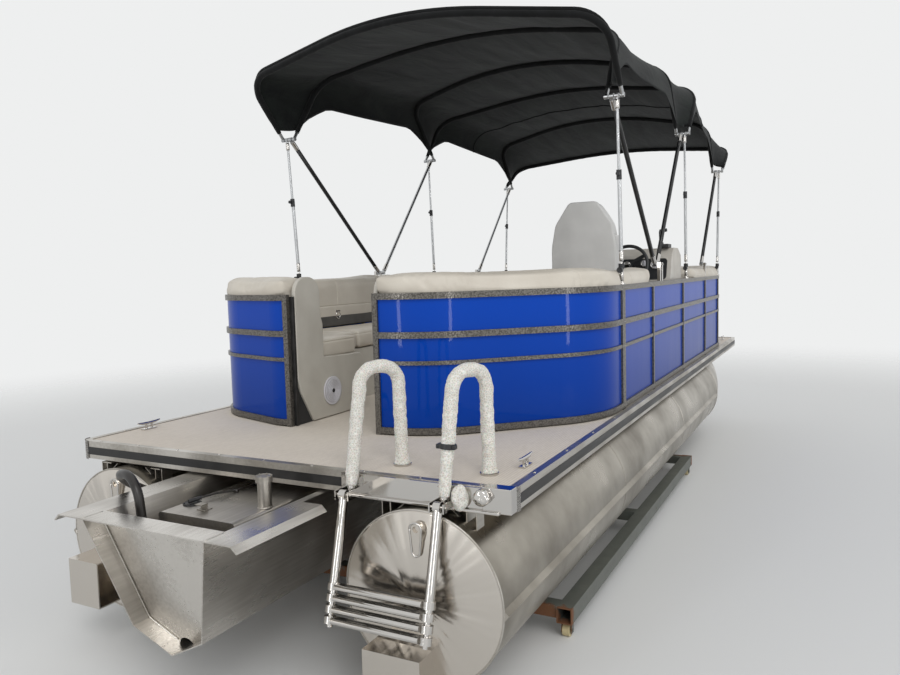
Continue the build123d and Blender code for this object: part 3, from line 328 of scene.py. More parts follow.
class BOAT_OT_finishes(bpy.types.Operator):
    """Every finish, and the CAD nodes that keep their own shape"""
    bl_idname = "boat.finishes"
    bl_label = "Finishes"

    def execute(self, context):
        materials.update({
            "sheet": rolled_aluminium("mill-finish marine aluminium sheet", "#D3CFC9", "#A9A49D", 0.3),
            "extrusion": rolled_aluminium("mill-finish aluminium extrusion", "#C6C2BB", "#9F9A92", 0.36),
            "pontoon": pontoon_aluminium("rolled aluminium tube with a buffed cap"),
            "steel": polished_steel("mirror-polished stainless steel"),
            "tube": anodised_tube("clear anodised aluminium tube"),
            "hammertone": hammertone("hammertone powder coat"),
            "blue": lacquered_sheet("lacquered blue aluminium sheet", context.scene.boat_finish.panel),
            "floor": woven_floor("woven vinyl floor"),
            "vinyl": marine_vinyl("ivory marine vinyl", "#CFC8BB", "#BFB7AA"),
            "vinyl_light": marine_vinyl("pale grey marine vinyl", "#D2D1CE", "#C2C1BE"),
            "base": moulded_plastic("rotomoulded greige polyethylene", "#C1BDB3", "#B3AEA4", 0.48),
            # Dark plastic used only to paint the shade in the hollow under the aft rolls
            "painted_shade_panel": moulded_plastic("dark polyethylene as painted shade under the rolls", "#55534F", "#454340", 0.5),
            "gelcoat": moulded_plastic("rotomoulded pale polyethylene", "#C6C1B8", "#B8B2A8", 0.36),
            "dash": moulded_plastic("injection-moulded black plastic", "#1B1C1E", "#232426", 0.4),
            "grille": moulded_plastic("injection-moulded white plastic", "#D4D3D6", "#C9C7CD", 0.4),
            "caster": moulded_plastic("injection-moulded cream nylon", "#CDBF97", "#B8A980", 0.45),
            "rubber": black_rubber("extruded black rubber", "#131313", 0.4),
            "hose": black_rubber("ribbed black hose rubber", "#1A1613", 0.36),
            "leg_black": black_rubber("black vinyl-coated tube", "#131416", 0.3),
            "canvas": canvas("charcoal acrylic canvas", "#0C0E0F", "#1E2320"),
            "webbing": canvas("black sleeve canvas", "#0C0D0D", "#161718"),
            "foam": foam_net("white expanded foam net"),
            "cradle": painted_steel("brush-painted box steel"),
        })
        by_start = {start: finish for finish, starts in COVERED.items() for start in starts.split()}
        for node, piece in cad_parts.items():
            fitting = [start for start in by_start if node.startswith(start)]
            if not fitting:
                raise RuntimeError(f"no finish for {node}")
            piece.data.materials.clear()
            piece.data.materials.append(materials[by_start[max(fitting, key=len)]])
        return {"FINISHED"}


# Mesh helpers ---------------------------------------------------------------


def made_object(name, bm):
    """Put a bmesh in the scene as an object, and free it."""
    mesh = bpy.data.meshes.new(name)
    bm.to_mesh(mesh)
    bm.free()
    piece = bpy.data.objects.new(name, mesh)
    bpy.context.scene.collection.objects.link(piece)
    return piece


def settle(bm, name, finish, smooth=True, bevel=0.0, replaces=(), second=None, body="hull"):
    """Turn a bmesh into a piece that rides on a body, in its finish, with a second one for faces marked 1."""
    bmesh.ops.recalc_face_normals(bm, faces=bm.faces)
    piece = made_object(name, bm)
    for polygon in piece.data.polygons:
        polygon.use_smooth = smooth
    for key in (finish, second) if second else (finish,):
        piece.data.materials.append(materials[key])
    if bevel:
        edge = piece.modifiers.new("edge", "BEVEL")
        edge.width, edge.segments, edge.limit_method = bevel, 2, "ANGLE"
        edge.harden_normals = True
    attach(piece, body)
    if replaces:
        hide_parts(*replaces)
    return piece


def rounded(points, radii, steps=8):
    """The points of a line whose corners are rounded, each corner by its own radius."""
    line = [Vector(points[0])]
    for before, corner, after, radius in zip(points, points[1:], points[2:], radii):
        before, corner, after = Vector(before), Vector(corner), Vector(after)
        into, out = (corner - before).normalized(), (after - corner).normalized()
        turn = into.angle(out)
        reach = radius * math.tan(turn / 2)
        centre = corner + (out - into).normalized() * (radius / math.cos(turn / 2))
        for i in range(steps + 1):
            swing = Matrix.Rotation(turn * i / steps, 3, into.cross(out).normalized())
            line.append(centre + swing @ (corner - into * reach - centre))
    line.append(Vector(points[-1]))
    return line


def evenly(line, count):
    """count + 1 points spaced evenly along a line."""
    lengths = [0.0]
    for a, b in zip(line, line[1:]):
        lengths.append(lengths[-1] + (b - a).length)
    result, i = [], 0
    for k in range(count + 1):
        goal = lengths[-1] * k / count
        while i < len(line) - 2 and lengths[i + 1] < goal:
            i += 1
        span = lengths[i + 1] - lengths[i]
        result.append(line[i].lerp(line[i + 1], min(1.0, (goal - lengths[i]) / span) if span else 0.0))
    return result


def circle(centre, across, over, radius, count=40, start=0.0, sweep=2 * math.pi):
    """Points round a circle, or round a part of it, in the plane of two directions."""
    return [centre + across * (radius * math.cos(a)) + over * (radius * math.sin(a))
            for a in (start + sweep * i / count for i in range(count + 1))]


def draped(columns, rows, place, weld=False):
    """A grid of columns by rows faces whose corners are put where place(u, v) says."""
    bm = bmesh.new()
    bmesh.ops.create_grid(bm, x_segments=columns, y_segments=rows, size=1.0)
    for vert in bm.verts:
        vert.co = place((vert.co.x + 1) / 2, (vert.co.y + 1) / 2)
    if weld:
        bmesh.ops.remove_doubles(bm, verts=bm.verts, dist=1e-5)
    return bm


def pipe(line, radius, sides=12):
    """A round bar along a line of points, with closed ends; radius is a number or a function of the share along."""
    count = len(line) - 1
    frames = []
    side = (line[1] - line[0]).normalized().orthogonal()
    for i, point in enumerate(line):
        ahead = (line[min(i + 1, count)] - line[max(i - 1, 0)]).normalized()
        side = (side - ahead * side.dot(ahead)).normalized()
        frames.append((point, side, ahead.cross(side)))

    def place(u, v):
        point, across, over = frames[round(u * count)]
        size = radius(u) if callable(radius) else radius
        turn = 2 * math.pi * v
        return point + across * (size * math.cos(turn)) + over * (size * math.sin(turn))

    bm = draped(count, sides, place, weld=True)
    bmesh.ops.holes_fill(bm, edges=[e for e in bm.edges if e.is_boundary], sides=0)
    return bm


def bar(start, end, radius, steps=4, sides=16):
    """A straight round bar between two points."""
    return pipe(evenly([start, end], steps), radius, sides)


def join(bm, *others):
    """Move everything in the others into bm, and give it back."""
    for other in others:
        mesh = bpy.data.meshes.new("part")
        other.to_mesh(mesh)
        other.free()
        bm.from_mesh(mesh)
        bpy.data.meshes.remove(mesh)
    return bm


def puck(centre, axis, radius, height, sides=24, inset=0.0):
    """A short cylinder on an axis, with an optional inset face on top."""
    bm = bmesh.new()
    turn = UP.rotation_difference(Vector(axis)).to_matrix().to_4x4()
    bmesh.ops.create_cone(bm, cap_ends=True, segments=sides, radius1=radius, radius2=radius, depth=height,
                          matrix=Matrix.Translation(centre) @ turn)
    if inset:
        top = max(bm.faces, key=lambda f: f.calc_center_median().dot(Vector(axis)))
        bmesh.ops.inset_individual(bm, faces=[top], thickness=inset, depth=-inset * 0.4)
    return bm


def heads(centre, reach, count, start, radius, height):
    """Hexagon heads spaced round an upright axis, the first at angle start."""
    return [puck(spot, UP, radius, height, 6) for spot in circle(centre, FORE, PORT, reach, count, start)[:-1]]


def cube(matrix, sizes):
    """A box of three sizes in metres, put where the matrix says."""
    bm = bmesh.new()
    bmesh.ops.create_cube(bm, size=1.0, matrix=matrix @ Matrix.Diagonal((*sizes, 1)))
    return bm


def slab(low, high, turn=None):
    """A box between two corners in deck millimetres, turned about its middle where turn is given."""
    low, high = at(*low), at(*high)
    return cube(Matrix.Translation((low + high) / 2) @ (turn or Matrix.Identity(4)), high - low)


def ball(centre, sizes, lump, pitch):
    """A ball with three half sizes, roughened by lumps of a height and a fineness."""
    bm = bmesh.new()
    bmesh.ops.create_icosphere(bm, subdivisions=4, radius=1.0,
                               matrix=Matrix.Translation(centre) @ Matrix.Diagonal((*sizes, 1)))
    bm.normal_update()
    for vert in bm.verts:
        vert.co += vert.normal * (lump * noise.noise(vert.co * pitch))
    return bm


def plate(outline, depth):
    """A flat plate: a face through the points of outline, extruded by the vector depth."""
    bm = bmesh.new()
    face = bm.faces.new([bm.verts.new(point) for point in outline])
    grown = bmesh.ops.extrude_face_region(bm, geom=[face])["geom"]
    bmesh.ops.translate(bm, verts=[item for item in grown if isinstance(item, bmesh.types.BMVert)], vec=depth)
    bmesh.ops.recalc_face_normals(bm, faces=bm.faces)
    return bm


def node_solids(node):
    """The separate solids of a CAD node, each as its own bmesh, in order of X and then Y."""
    whole = bmesh.new()
    whole.from_mesh(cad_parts[node].data)
    bmesh.ops.remove_doubles(whole, verts=whole.verts, dist=2e-5)
    left = set(whole.verts)
    solids = []
    while left:
        seed = left.pop()
        group, queue = {seed.index}, [seed]
        while queue:
            for edge in queue.pop().link_edges:
                for vert in edge.verts:
                    if vert in left:
                        left.remove(vert)
                        group.add(vert.index)
                        queue.append(vert)
        part = whole.copy()
        bmesh.ops.delete(part, geom=[v for v in part.verts if v.index not in group], context="VERTS")
        solids.append(part)
    whole.free()

    def order(part):
        middle = sum((v.co for v in part.verts), Vector()) / len(part.verts)
        return (round(middle.x, 1), round(middle.y, 1))
    return sorted(solids, key=order)


def applied(piece):
    """Bake a piece's modifiers into its mesh."""
    graph = bpy.context.evaluated_depsgraph_get()
    baked = bpy.data.meshes.new_from_object(piece.evaluated_get(graph))
    for modifier in list(piece.modifiers):
        piece.modifiers.remove(modifier)
    piece.data = baked
    return baked


def sew(bm, point, normal, depth, keep):
    """Draw the surface in along a plane, as a sewn seam does, where keep(place, surface normal) is true."""
    for shift in (-0.006, 0.0, 0.006):
        bmesh.ops.bisect_plane(bm, geom=list(bm.verts) + list(bm.edges) + list(bm.faces), dist=1e-5,
                               plane_co=point + normal * shift, plane_no=normal)
    bm.normal_update()
    for vert in bm.verts:
        if abs((vert.co - point).dot(normal)) < 2e-5 and keep(vert.co, vert.normal):
            vert.co -= vert.normal * depth


def upholster(bm, name, finish, body, node, voxel=0.018, puff=0.010, seams=(), shrink=0.004, soften=6):
    """A stuffed vinyl piece from a plain solid: remeshed, inflated as cloth, then sewn along its seams."""
    piece = made_object(name, bm)
    remesh = piece.modifiers.new("voxels", "REMESH")
    remesh.mode, remesh.voxel_size = "VOXEL", voxel
    relaxed = piece.modifiers.new("relax", "SMOOTH")
    relaxed.iterations, relaxed.factor = soften, 0.5
    bpy.context.view_layer.update()
    mesh = applied(piece)
    start = [vert.co - vert.normal * shrink for vert in mesh.vertices]
    for vert, place in zip(mesh.vertices, start):
        vert.co = place
    cloth = piece.modifiers.new("stuffing", "CLOTH").settings
    cloth.use_pressure = True
    cloth.uniform_pressure_force = 4.0
    cloth.effector_weights.gravity = 0.0
    cloth.quality = 4
    cloth.tension_stiffness = cloth.compression_stiffness = 18
    for number in range(1, 13):
        bpy.context.scene.frame_set(number)
    mesh = applied(piece)
    bpy.context.scene.frame_set(1)
    for vert, before in zip(mesh.vertices, start):
        move = vert.co - before
        if move.length > puff:
            vert.co = before + move.normalized() * puff
    bm = bmesh.new()
    bm.from_mesh(mesh)
    for point, normal, depth, keep in seams:
        sew(bm, Vector(point), Vector(normal).normalized(), depth, keep)
    bm.to_mesh(mesh)
    bm.free()
    for polygon in mesh.polygons:
        polygon.use_smooth = True
    mesh.materials.clear()
    mesh.materials.append(materials[finish])
    refined = piece.modifiers.new("refine", "SUBSURF")
    refined.levels = refined.render_levels = 1
    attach(piece, body)
    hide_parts(node)
    return piece


# Canopy and its frame --------------------------------------------------------

# X and height of the corner pin, X of the rail pivot and X of the strut's foot, for each leg set.
CORNERS = {"aft": (1690.0, 1750.0), "middle": (3700.0, 1845.0), "front": (5560.0, 1750.0)}
PIVOTS = {"aft": 2750.0, "middle": 2812.0, "front": 4680.0}
FEET = {"aft": 1753.0, "middle": 3750.0, "front": 5467.0}
LEG_Y, STRUT_Y, PIVOT_Z, FOOT_Z = 1117, 1147, 828, 846
# Each bow's leg set, the Y of its ends, and the X and height of its crown.
BOWS = [("aft", 1177.0, 1250.0, 2215.0), ("aft", 1087.0, 2120.0, 2365.0), ("middle", 1087.0, 3170.0, 2425.0),
        ("middle", 1177.0, 4130.0, 2400.0), ("front", 1087.0, 5130.0, 2320.0), ("front", 1177.0, 6150.0, 2130.0)]
BOW_BEND, CROWN_BEND = 190, 2600        # radii of a bow's shoulders and of its crown
CLOTH_GAP = 14                  # from a bow's middle to the cloth over it
CLOTH_ACROSS = 110              # faces across the canopy


def bow_line(number, gap, low, count):
    """Points of a bow's shape from port to starboard, moved out from its middle by gap."""
    set_name, lane, crown_x, crown_z = BOWS[number]
    corner_x, corner_z = CORNERS[set_name]
    along = Vector((crown_x - corner_x, 0, crown_z - corner_z))
    height = along.length
    along.normalize()
    half = lane + gap
    lift = gap * height / (crown_z - corner_z)
    shoulder, crown = 0.72 * height + lift, 1.10 * height + lift
    flat = [(half, low), (half, shoulder), (0, crown), (-half, shoulder), (-half, low)]
    bend = BOW_BEND + gap
    line = rounded([Vector((y, v, 0)) for y, v in flat], [bend, CROWN_BEND, bend], 12)
    return [at(corner_x + along.x * p.y, p.x, corner_z + along.z * p.y) for p in evenly(line, count)]


def between_bows(number, share, sag):
    """A row of the cloth between two bows, at a share of the way from one to the next."""
    near, high = 85.0, 325.0        # how far from the corner pins the cloth ends, at a leg set and between two
    low = near
    if BOWS[number][0] != BOWS[number + 1][0]:
        low += (high - near) * min(1.0, share / 0.14, (1 - share) / 0.14) ** 0.6
    hang = sag * math.sin(math.pi * share) ** 0.8
    slack = math.sin(math.pi * share) ** 0.5
    row = []
    for a, b in zip(*(bow_line(bow, CLOTH_GAP, low, CLOTH_ACROSS) for bow in (number, number + 1))):
        point = a.lerp(b, share)
        inward = Vector((0, -point.y * 0.8, -(point.z - at(0, 0, 1500).z))).normalized()
        crease = (0.010 * noise.noise(Vector((point.x * 1.3 + point.y, point.y * 6.5, 0))) +
                  0.005 * noise.noise(Vector((point.x * 3.1 - point.y * 2, point.y * 15, 7))))
        row.append(point + inward * (hang + slack * crease))
    return row


class BoatCanopySettings(bpy.types.PropertyGroup):
    sag: bpy.props.FloatProperty(name="Sag", description="How far the cloth sags between two bows",
                                 default=0.024, min=0.0, max=0.1, unit="LENGTH")
    sleeve: bpy.props.FloatProperty(name="Sleeve radius", description="Radius of the cloth sleeve round each bow",
                                    default=0.020, min=0.012, max=0.03, unit="LENGTH")


class BOAT_OT_canopy(bpy.types.Operator):
    """Canopy cloth with its hem and middle seam, and the sleeves over its bows"""
    bl_idname = "boat.canopy"
    bl_label = "Canopy"

    def execute(self, context):
        settings = context.scene.boat_canopy
        steps, last = 24, len(BOWS) - 2
        rows = [between_bows(number, step / steps, settings.sag)
                for number in range(last + 1) for step in range(steps + (number == last))]
        lengths = len(rows) - 1
        bm = draped(lengths, CLOTH_ACROSS, lambda u, v: rows[round(u * lengths)][round(v * CLOTH_ACROSS)])
        before = set(bm.faces)
        # The hem, turned up and a little inwards round the rim
        for item in bmesh.ops.extrude_edge_only(bm, edges=[e for e in bm.edges if e.is_boundary])["geom"]:
            if isinstance(item, bmesh.types.BMVert):
                inward = Vector((at(3600, 0, 0).x - item.co.x, -item.co.y, 0)).normalized()
                item.co += inward * 0.007 + UP * 0.020
        for face in set(bm.faces) - before:
            face.material_index = 1
        cloth = settle(bm, "canopy_cloth", "canvas", replaces=["canopy"], second="webbing")
        line = [point - UP * 0.002 for point in between_bows(3, 0.5, settings.sag)]
        seam = settle(pipe(line, 0.006, 6), "canopy_seam", "webbing")
        for piece in (cloth, seam):
            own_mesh(piece)
        bare = 0.0145               # a sleeve's radius at its two ends
        for number in range(len(BOWS)):
            def thickness(u):
                middle = min(1.0, min(u, 1 - u) / 0.06)
                wrinkle = 0.0010 * math.sin(190 * u + number) * math.sin(47 * u)
                return bare + (settings.sleeve - bare) * middle + wrinkle

            settle(pipe(bow_line(number, 0, 60, 110), thickness, 14), f"bow_sleeve_{number + 1}", "webbing",
                   body=f"bow_{number + 1}")
        return {"FINISHED"}


class BOAT_OT_top_frame(bpy.types.Operator):
    """Jaws, black leg covers, strut clamps and rail sockets of the folding top"""
    bl_idname = "boat.top_frame"
    bl_label = "Top frame fittings"

    def execute(self, context):
        bodies = {"aft": ("top_legs_aft", "top_struts_aft"), "middle": ("hull", "hull"),
                  "front": ("top_legs_front", "top_struts_front")}
        knobs, collars, flanges = (bmesh.new() for _ in range(3))
        for set_name, (corner_x, corner_z) in CORNERS.items():
            leg_body, strut_body = bodies[set_name]
            jaws, covers, clamps, ends = (bmesh.new() for _ in range(4))
            for sign, _ in SIDES:
                pivot, corner = at(PIVOTS[set_name], sign * LEG_Y, PIVOT_Z), at(corner_x, sign * LEG_Y, corner_z)
                ahead = (corner - pivot).normalized()
                for end_point, way in ((pivot, ahead), (corner, -ahead)):
                    join(jaws, bar(end_point + way * 0.022, end_point + way * 0.088, 0.0165),
                         puck(end_point + way * 0.070, (0, sign, 0), 0.004, 0.034, 6))
                if sign < 0 or set_name == "aft":
                    join(covers, bar(pivot + ahead * 0.09, corner - ahead * 0.09, 0.0145, 6))
                x, y = FEET[set_name], sign * STRUT_Y
                foot, head = at(x, y, FOOT_Z), at(corner_x, y, corner_z)
                ahead = (head - foot).normalized()
                middle = foot.lerp(head, 0.5) + ahead * 0.03
                join(clamps, bar(middle - ahead * 0.030, middle + ahead * 0.024, 0.0150),
                     puck(middle - FORE * 0.026, FORE, 0.011, 0.018, 10, 0.002))
                join(ends, bar(foot, foot + ahead * 0.06, 0.0125),
                     bar(head - ahead * 0.07, head - ahead * 0.02, 0.0125))
                join(knobs, puck(at(x - 30, y, 796), (-1, 0, 0), 0.017, 0.026, 10, 0.003),
                     puck(at(x, y, 818), UP, 0.0165, 0.030, 20, 0.003))
                join(collars, puck(at(x, y, 770), UP, 0.0125, 0.075, 20, 0.002))
                join(flanges, puck(at(x, y, 718), UP, 0.022, 0.008, 24, 0.004))
            settle(jaws, f"leg_jaws_{set_name}", "steel", bevel=0.001, body=leg_body)
            settle(covers, f"leg_covers_{set_name}", "leg_black", body=leg_body)
            settle(clamps, f"strut_clamps_{set_name}", "dash", bevel=0.001, body=strut_body)
            settle(ends, f"strut_ends_{set_name}", "steel", body=strut_body)
        settle(knobs, "socket_knobs", "dash", bevel=0.002)
        settle(collars, "socket_collars", "steel")
        settle(flanges, "socket_flanges", "steel", bevel=0.001)
        return {"FINISHED"}


# Upholstery -----------------------------------------------------------------


def across_top(x, lowest):
    """A seam across a piece at deck X, kept on what lies above a height over the deck."""
    return (at(x, 0, 0), FORE, 0.005, lambda co, n: co.z > at(0, 0, lowest).z)


class BOAT_OT_upholstery(bpy.types.Operator):
    """Backrests, seat cushions and seat lids"""
    bl_idname = "boat.upholstery"
    bl_label = "Upholstery"

    def execute(self, context):
        under_roll = (at(0, 0, 600), UP, 0.005, lambda co, n: abs(n.z) < 0.75)
        for end_name, places in (("aft", (1300, 1920)), ("bow", (4600, 5200, 5600))):
            node = f"backrests_{end_name}"
            seams = [under_roll] + [across_top(x, 610) for x in places]
            for index, part in enumerate(node_solids(node), 1):
                upholster(part, f"backrest_{end_name}_{index}", "vinyl", "hull", node, 0.016, 0.014, seams, 0.001, 26)
        welt = (at(0, 0, 428), UP, 0.004, lambda co, n: abs(n.z) < 0.75)
        for index, part in enumerate(node_solids("seats_fixed"), 1):
            upholster(part, f"seat_fixed_{index}", "vinyl", "hull", "seats_fixed", seams=[welt])
        for end_name in ("aft", "bow"):
            for sign, side in SIDES:
                node = f"seat_lid_{end_name}_{side}"
                middle = sum(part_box(node), Vector()) / 2
                seams = [welt, ((middle.x, 0, 0), FORE, 0.005, lambda co, n: n.z > 0.5),
                         ((0, sign * 0.61, 0), PORT, 0.005, lambda co, n: n.z > 0.5)]
                upholster(node_solids(node)[0], f"{node}_cushion", "vinyl", f"lid_{end_name}_{side}", node,
                          seams=seams)
        return {"FINISHED"}


CHAIR_X, CHAIR_Y = 2830, -670
# Outlines over the chair's middle and the deck, seen from behind and then from the side.
CHAIR_BACK = [(-228, 400), (-228, 960), (-200, 1115), (-98, 1268), (98, 1268), (200, 1115), (228, 960), (228, 400)]
CHAIR_CORNERS = [0.30, 0.12, 0.05, 0.05, 0.12, 0.30]
CHAIR_WING = [(-238, 500), (-238, 1052), (-120, 1046), (-58, 985), (-46, 560), (-90, 500)]


class BOAT_OT_chair(bpy.types.Operator):
    """Captain's chair: shell back, seat and back pads, side wings, armrests and swivel"""
    bl_idname = "boat.chair"
    bl_label = "Captain's chair"

    def execute(self, context):
        x, y = CHAIR_X, CHAIR_Y

        def pad(bm, name, seams=(), voxel=0.014, puff=0.012, shrink=0.004):
            upholster(bm, name, "vinyl_light", "chair", "captain_chair", voxel, puff, seams, shrink)

        seams = [(at(0, 0, 452), UP, 0.005, lambda co, n: abs(n.z) < 0.7)]
        seams += [(at(0, y + dy, 0), PORT, 0.004, lambda co, n: n.z > 0.5) for dy in (-130, 130)]
        pad(slab((x - 160, y - 222, 372), (x + 232, y + 222, 492)), "chair_seat", seams)
        outline = rounded([at(x - 268, y + dy, z) for dy, z in CHAIR_BACK], CHAIR_CORNERS)
        settle(plate(outline, FORE * 0.034), "chair_shell", "vinyl_light", False, 0.010, body="chair")
        seams = [(at(0, 0, z), UP, 0.006, lambda co, n: n.x > 0.3) for z in (620, 760, 900)]
        pad(slab((x - 236, y - 174, 470), (x - 168, y + 174, 1064)), "chair_back_pad", seams)
        outline = [at(x - 238, y + dy, z) for dy, z in [(-216, 1026)] + CHAIR_BACK[2:6] + [(216, 1026)]]
        pad(plate(rounded(outline, [0.04, 0.05, 0.05, 0.04]), FORE * 0.112), "chair_head_pad")
        for sign, side in SIDES:
            outline = [at(x + dx, y + sign * 224, z) for dx, z in CHAIR_WING]
            pad(plate(outline, PORT * -sign * 0.050), f"chair_wing_{side}", (), 0.012, 0.008, 0.002)
        for sign, side in SIDES:
            arm_y = y + sign * 204
            pad(slab((x - 165, arm_y - 24, 640), (x + 150, arm_y + 24, 690)), f"chair_arm_{side}", (), 0.010,
                0.006, 0.002)
            settle(slab((x + 96, arm_y - 14, 478), (x + 134, arm_y + 14, 650)), f"chair_arm_post_{side}",
                   "extrusion", False, 0.004, body="chair")
        swivel = join(slab((x - 120, y - 120, 336), (x + 120, y + 120, 372)), puck(at(x, y, 312), UP, 0.025, 0.075))
        settle(swivel, "chair_swivel_plate", "dash", False, 0.004, body="chair")
        return {"FINISHED"}


# Hard trim ------------------------------------------------------------------

RISER_Y = 210           # from a tube's middle to the outside of a riser


class BOAT_OT_pontoon_trim(bpy.types.Operator):
    """Weld beads round the tubes and caps, the eye plates' beads, and the gusset plates under the deck"""
    bl_idname = "boat.pontoon_trim"
    bl_label = "Pontoon trim"

    def execute(self, context):
        for sign, side in SIDES:
            y = sign * TUBE_Y
            beads, gussets = bmesh.new(), bmesh.new()
            for x, radius, size in ((-68, 345.5, 4.0), (1690, TUBE_R, 2.6), (3480, TUBE_R, 2.6), (5250, TUBE_R, 2.8)):
                join(beads, pipe(circle(at(x, y, TUBE_Z), PORT, UP, radius / 1000, 96), size / 1000, 8))
            settle(beads, f"weld_beads_{side}", "extrusion")
            top = circle(at(-98, y, TUBE_Z + 279), PORT, UP, 0.026, 14, 0, math.pi)
            foot = circle(at(-98, y, TUBE_Z + 192), PORT, UP, 0.0173, 10, math.pi, math.pi)
            settle(pipe(evenly(top + foot + top[:1], 64), 0.0045, 8), f"eye_bead_{side}", "steel")
            tube_top = TUBE_Z + math.sqrt(TUBE_R ** 2 - RISER_Y ** 2)
            for way in (1, -1):
                # A thin upright plate outside each riser, and a brace in from it to the tube
                plate_y, brace_y = y + way * RISER_Y, y + way * 130
                brace = Matrix.Rotation(-way * math.atan2(50, 62), 4, "X")
                join(gussets, slab((2, plate_y - 2, tube_top - 4), (66, plate_y + 2, -93)),
                     slab((2, brace_y - 40, -121.5), (24, brace_y + 40, -118.5), brace))
            settle(gussets, f"gusset_plates_{side}", "extrusion", False, 0.0006)
        return {"FINISHED"}


class BOAT_OT_pod_trim(bpy.types.Operator):
    """Filler cap, sender, wire and bracket on the tank, and the weld seams of the motor pod"""
    bl_idname = "boat.pod_trim"
    bl_label = "Pod trim"

    def execute(self, context):
        cap, top, weld = (at(-175, -170, z) for z in (-9, 2, -128))
        cap = join(puck(cap, UP, 0.035, 0.020, 36, 0.006), *heads(top, 0.028, 6, 0.3, 0.004, 0.004),
                   pipe(circle(weld, FORE, PORT, 0.030), 0.003, 8))
        settle(cap, "filler_cap", "extrusion", False, 0.0008)
        bracket = join(slab((-318, 20, -130), (-276, 66, -126)), slab((-300, 24, -128), (-296, 62, -102)),
                       slab((-330, 24, -106), (-296, 62, -102)))
        settle(bracket, "tank_bracket", "extrusion", False, 0.001)
        sender = join(puck(at(-262, 148, -127), UP, 0.038, 0.006, 32, 0.004),
                      bar(at(-278, 152, -116), at(-222, 138, -113), 0.0085),
                      *heads(at(-262, 148, -122), 0.031, 5, 0, 0.003, 0.005))
        settle(sender, "tank_sender", "dash", bevel=0.0008)
        route = [at(-222, 138, -113), at(-150, 120, -112), at(-60, 96, -122), at(40, 90, -124), at(160, 90, -124)]
        wire = pipe(evenly(rounded(route, [0.08, 0.12, 0.08]), 48), 0.0045, 8)
        for x, y in ((-60, 97), (60, 90)):
            join(wire, slab((x - 5, y - 12, -130), (x + 5, y + 12, -116)))
        settle(wire, "tank_sender_wire", "hose")
        rake = 113 / 535            # how far the pod's sloping end moves ahead for each millimetre down
        welds = bmesh.new()
        for sign, _ in SIDES:
            line = [at(-579 + (-94 - z) * rake, sign * y, z) for y, z in ((308, -104), (178, -530), (42, -604))]
            join(welds, pipe(evenly(line, 40), 0.004, 8),
                 bar(at(-650, sign * 318, -95), at(-560, sign * 318, -95), 0.0025, 8, 8))
        settle(welds, "pod_welds", "extrusion")
        return {"FINISHED"}


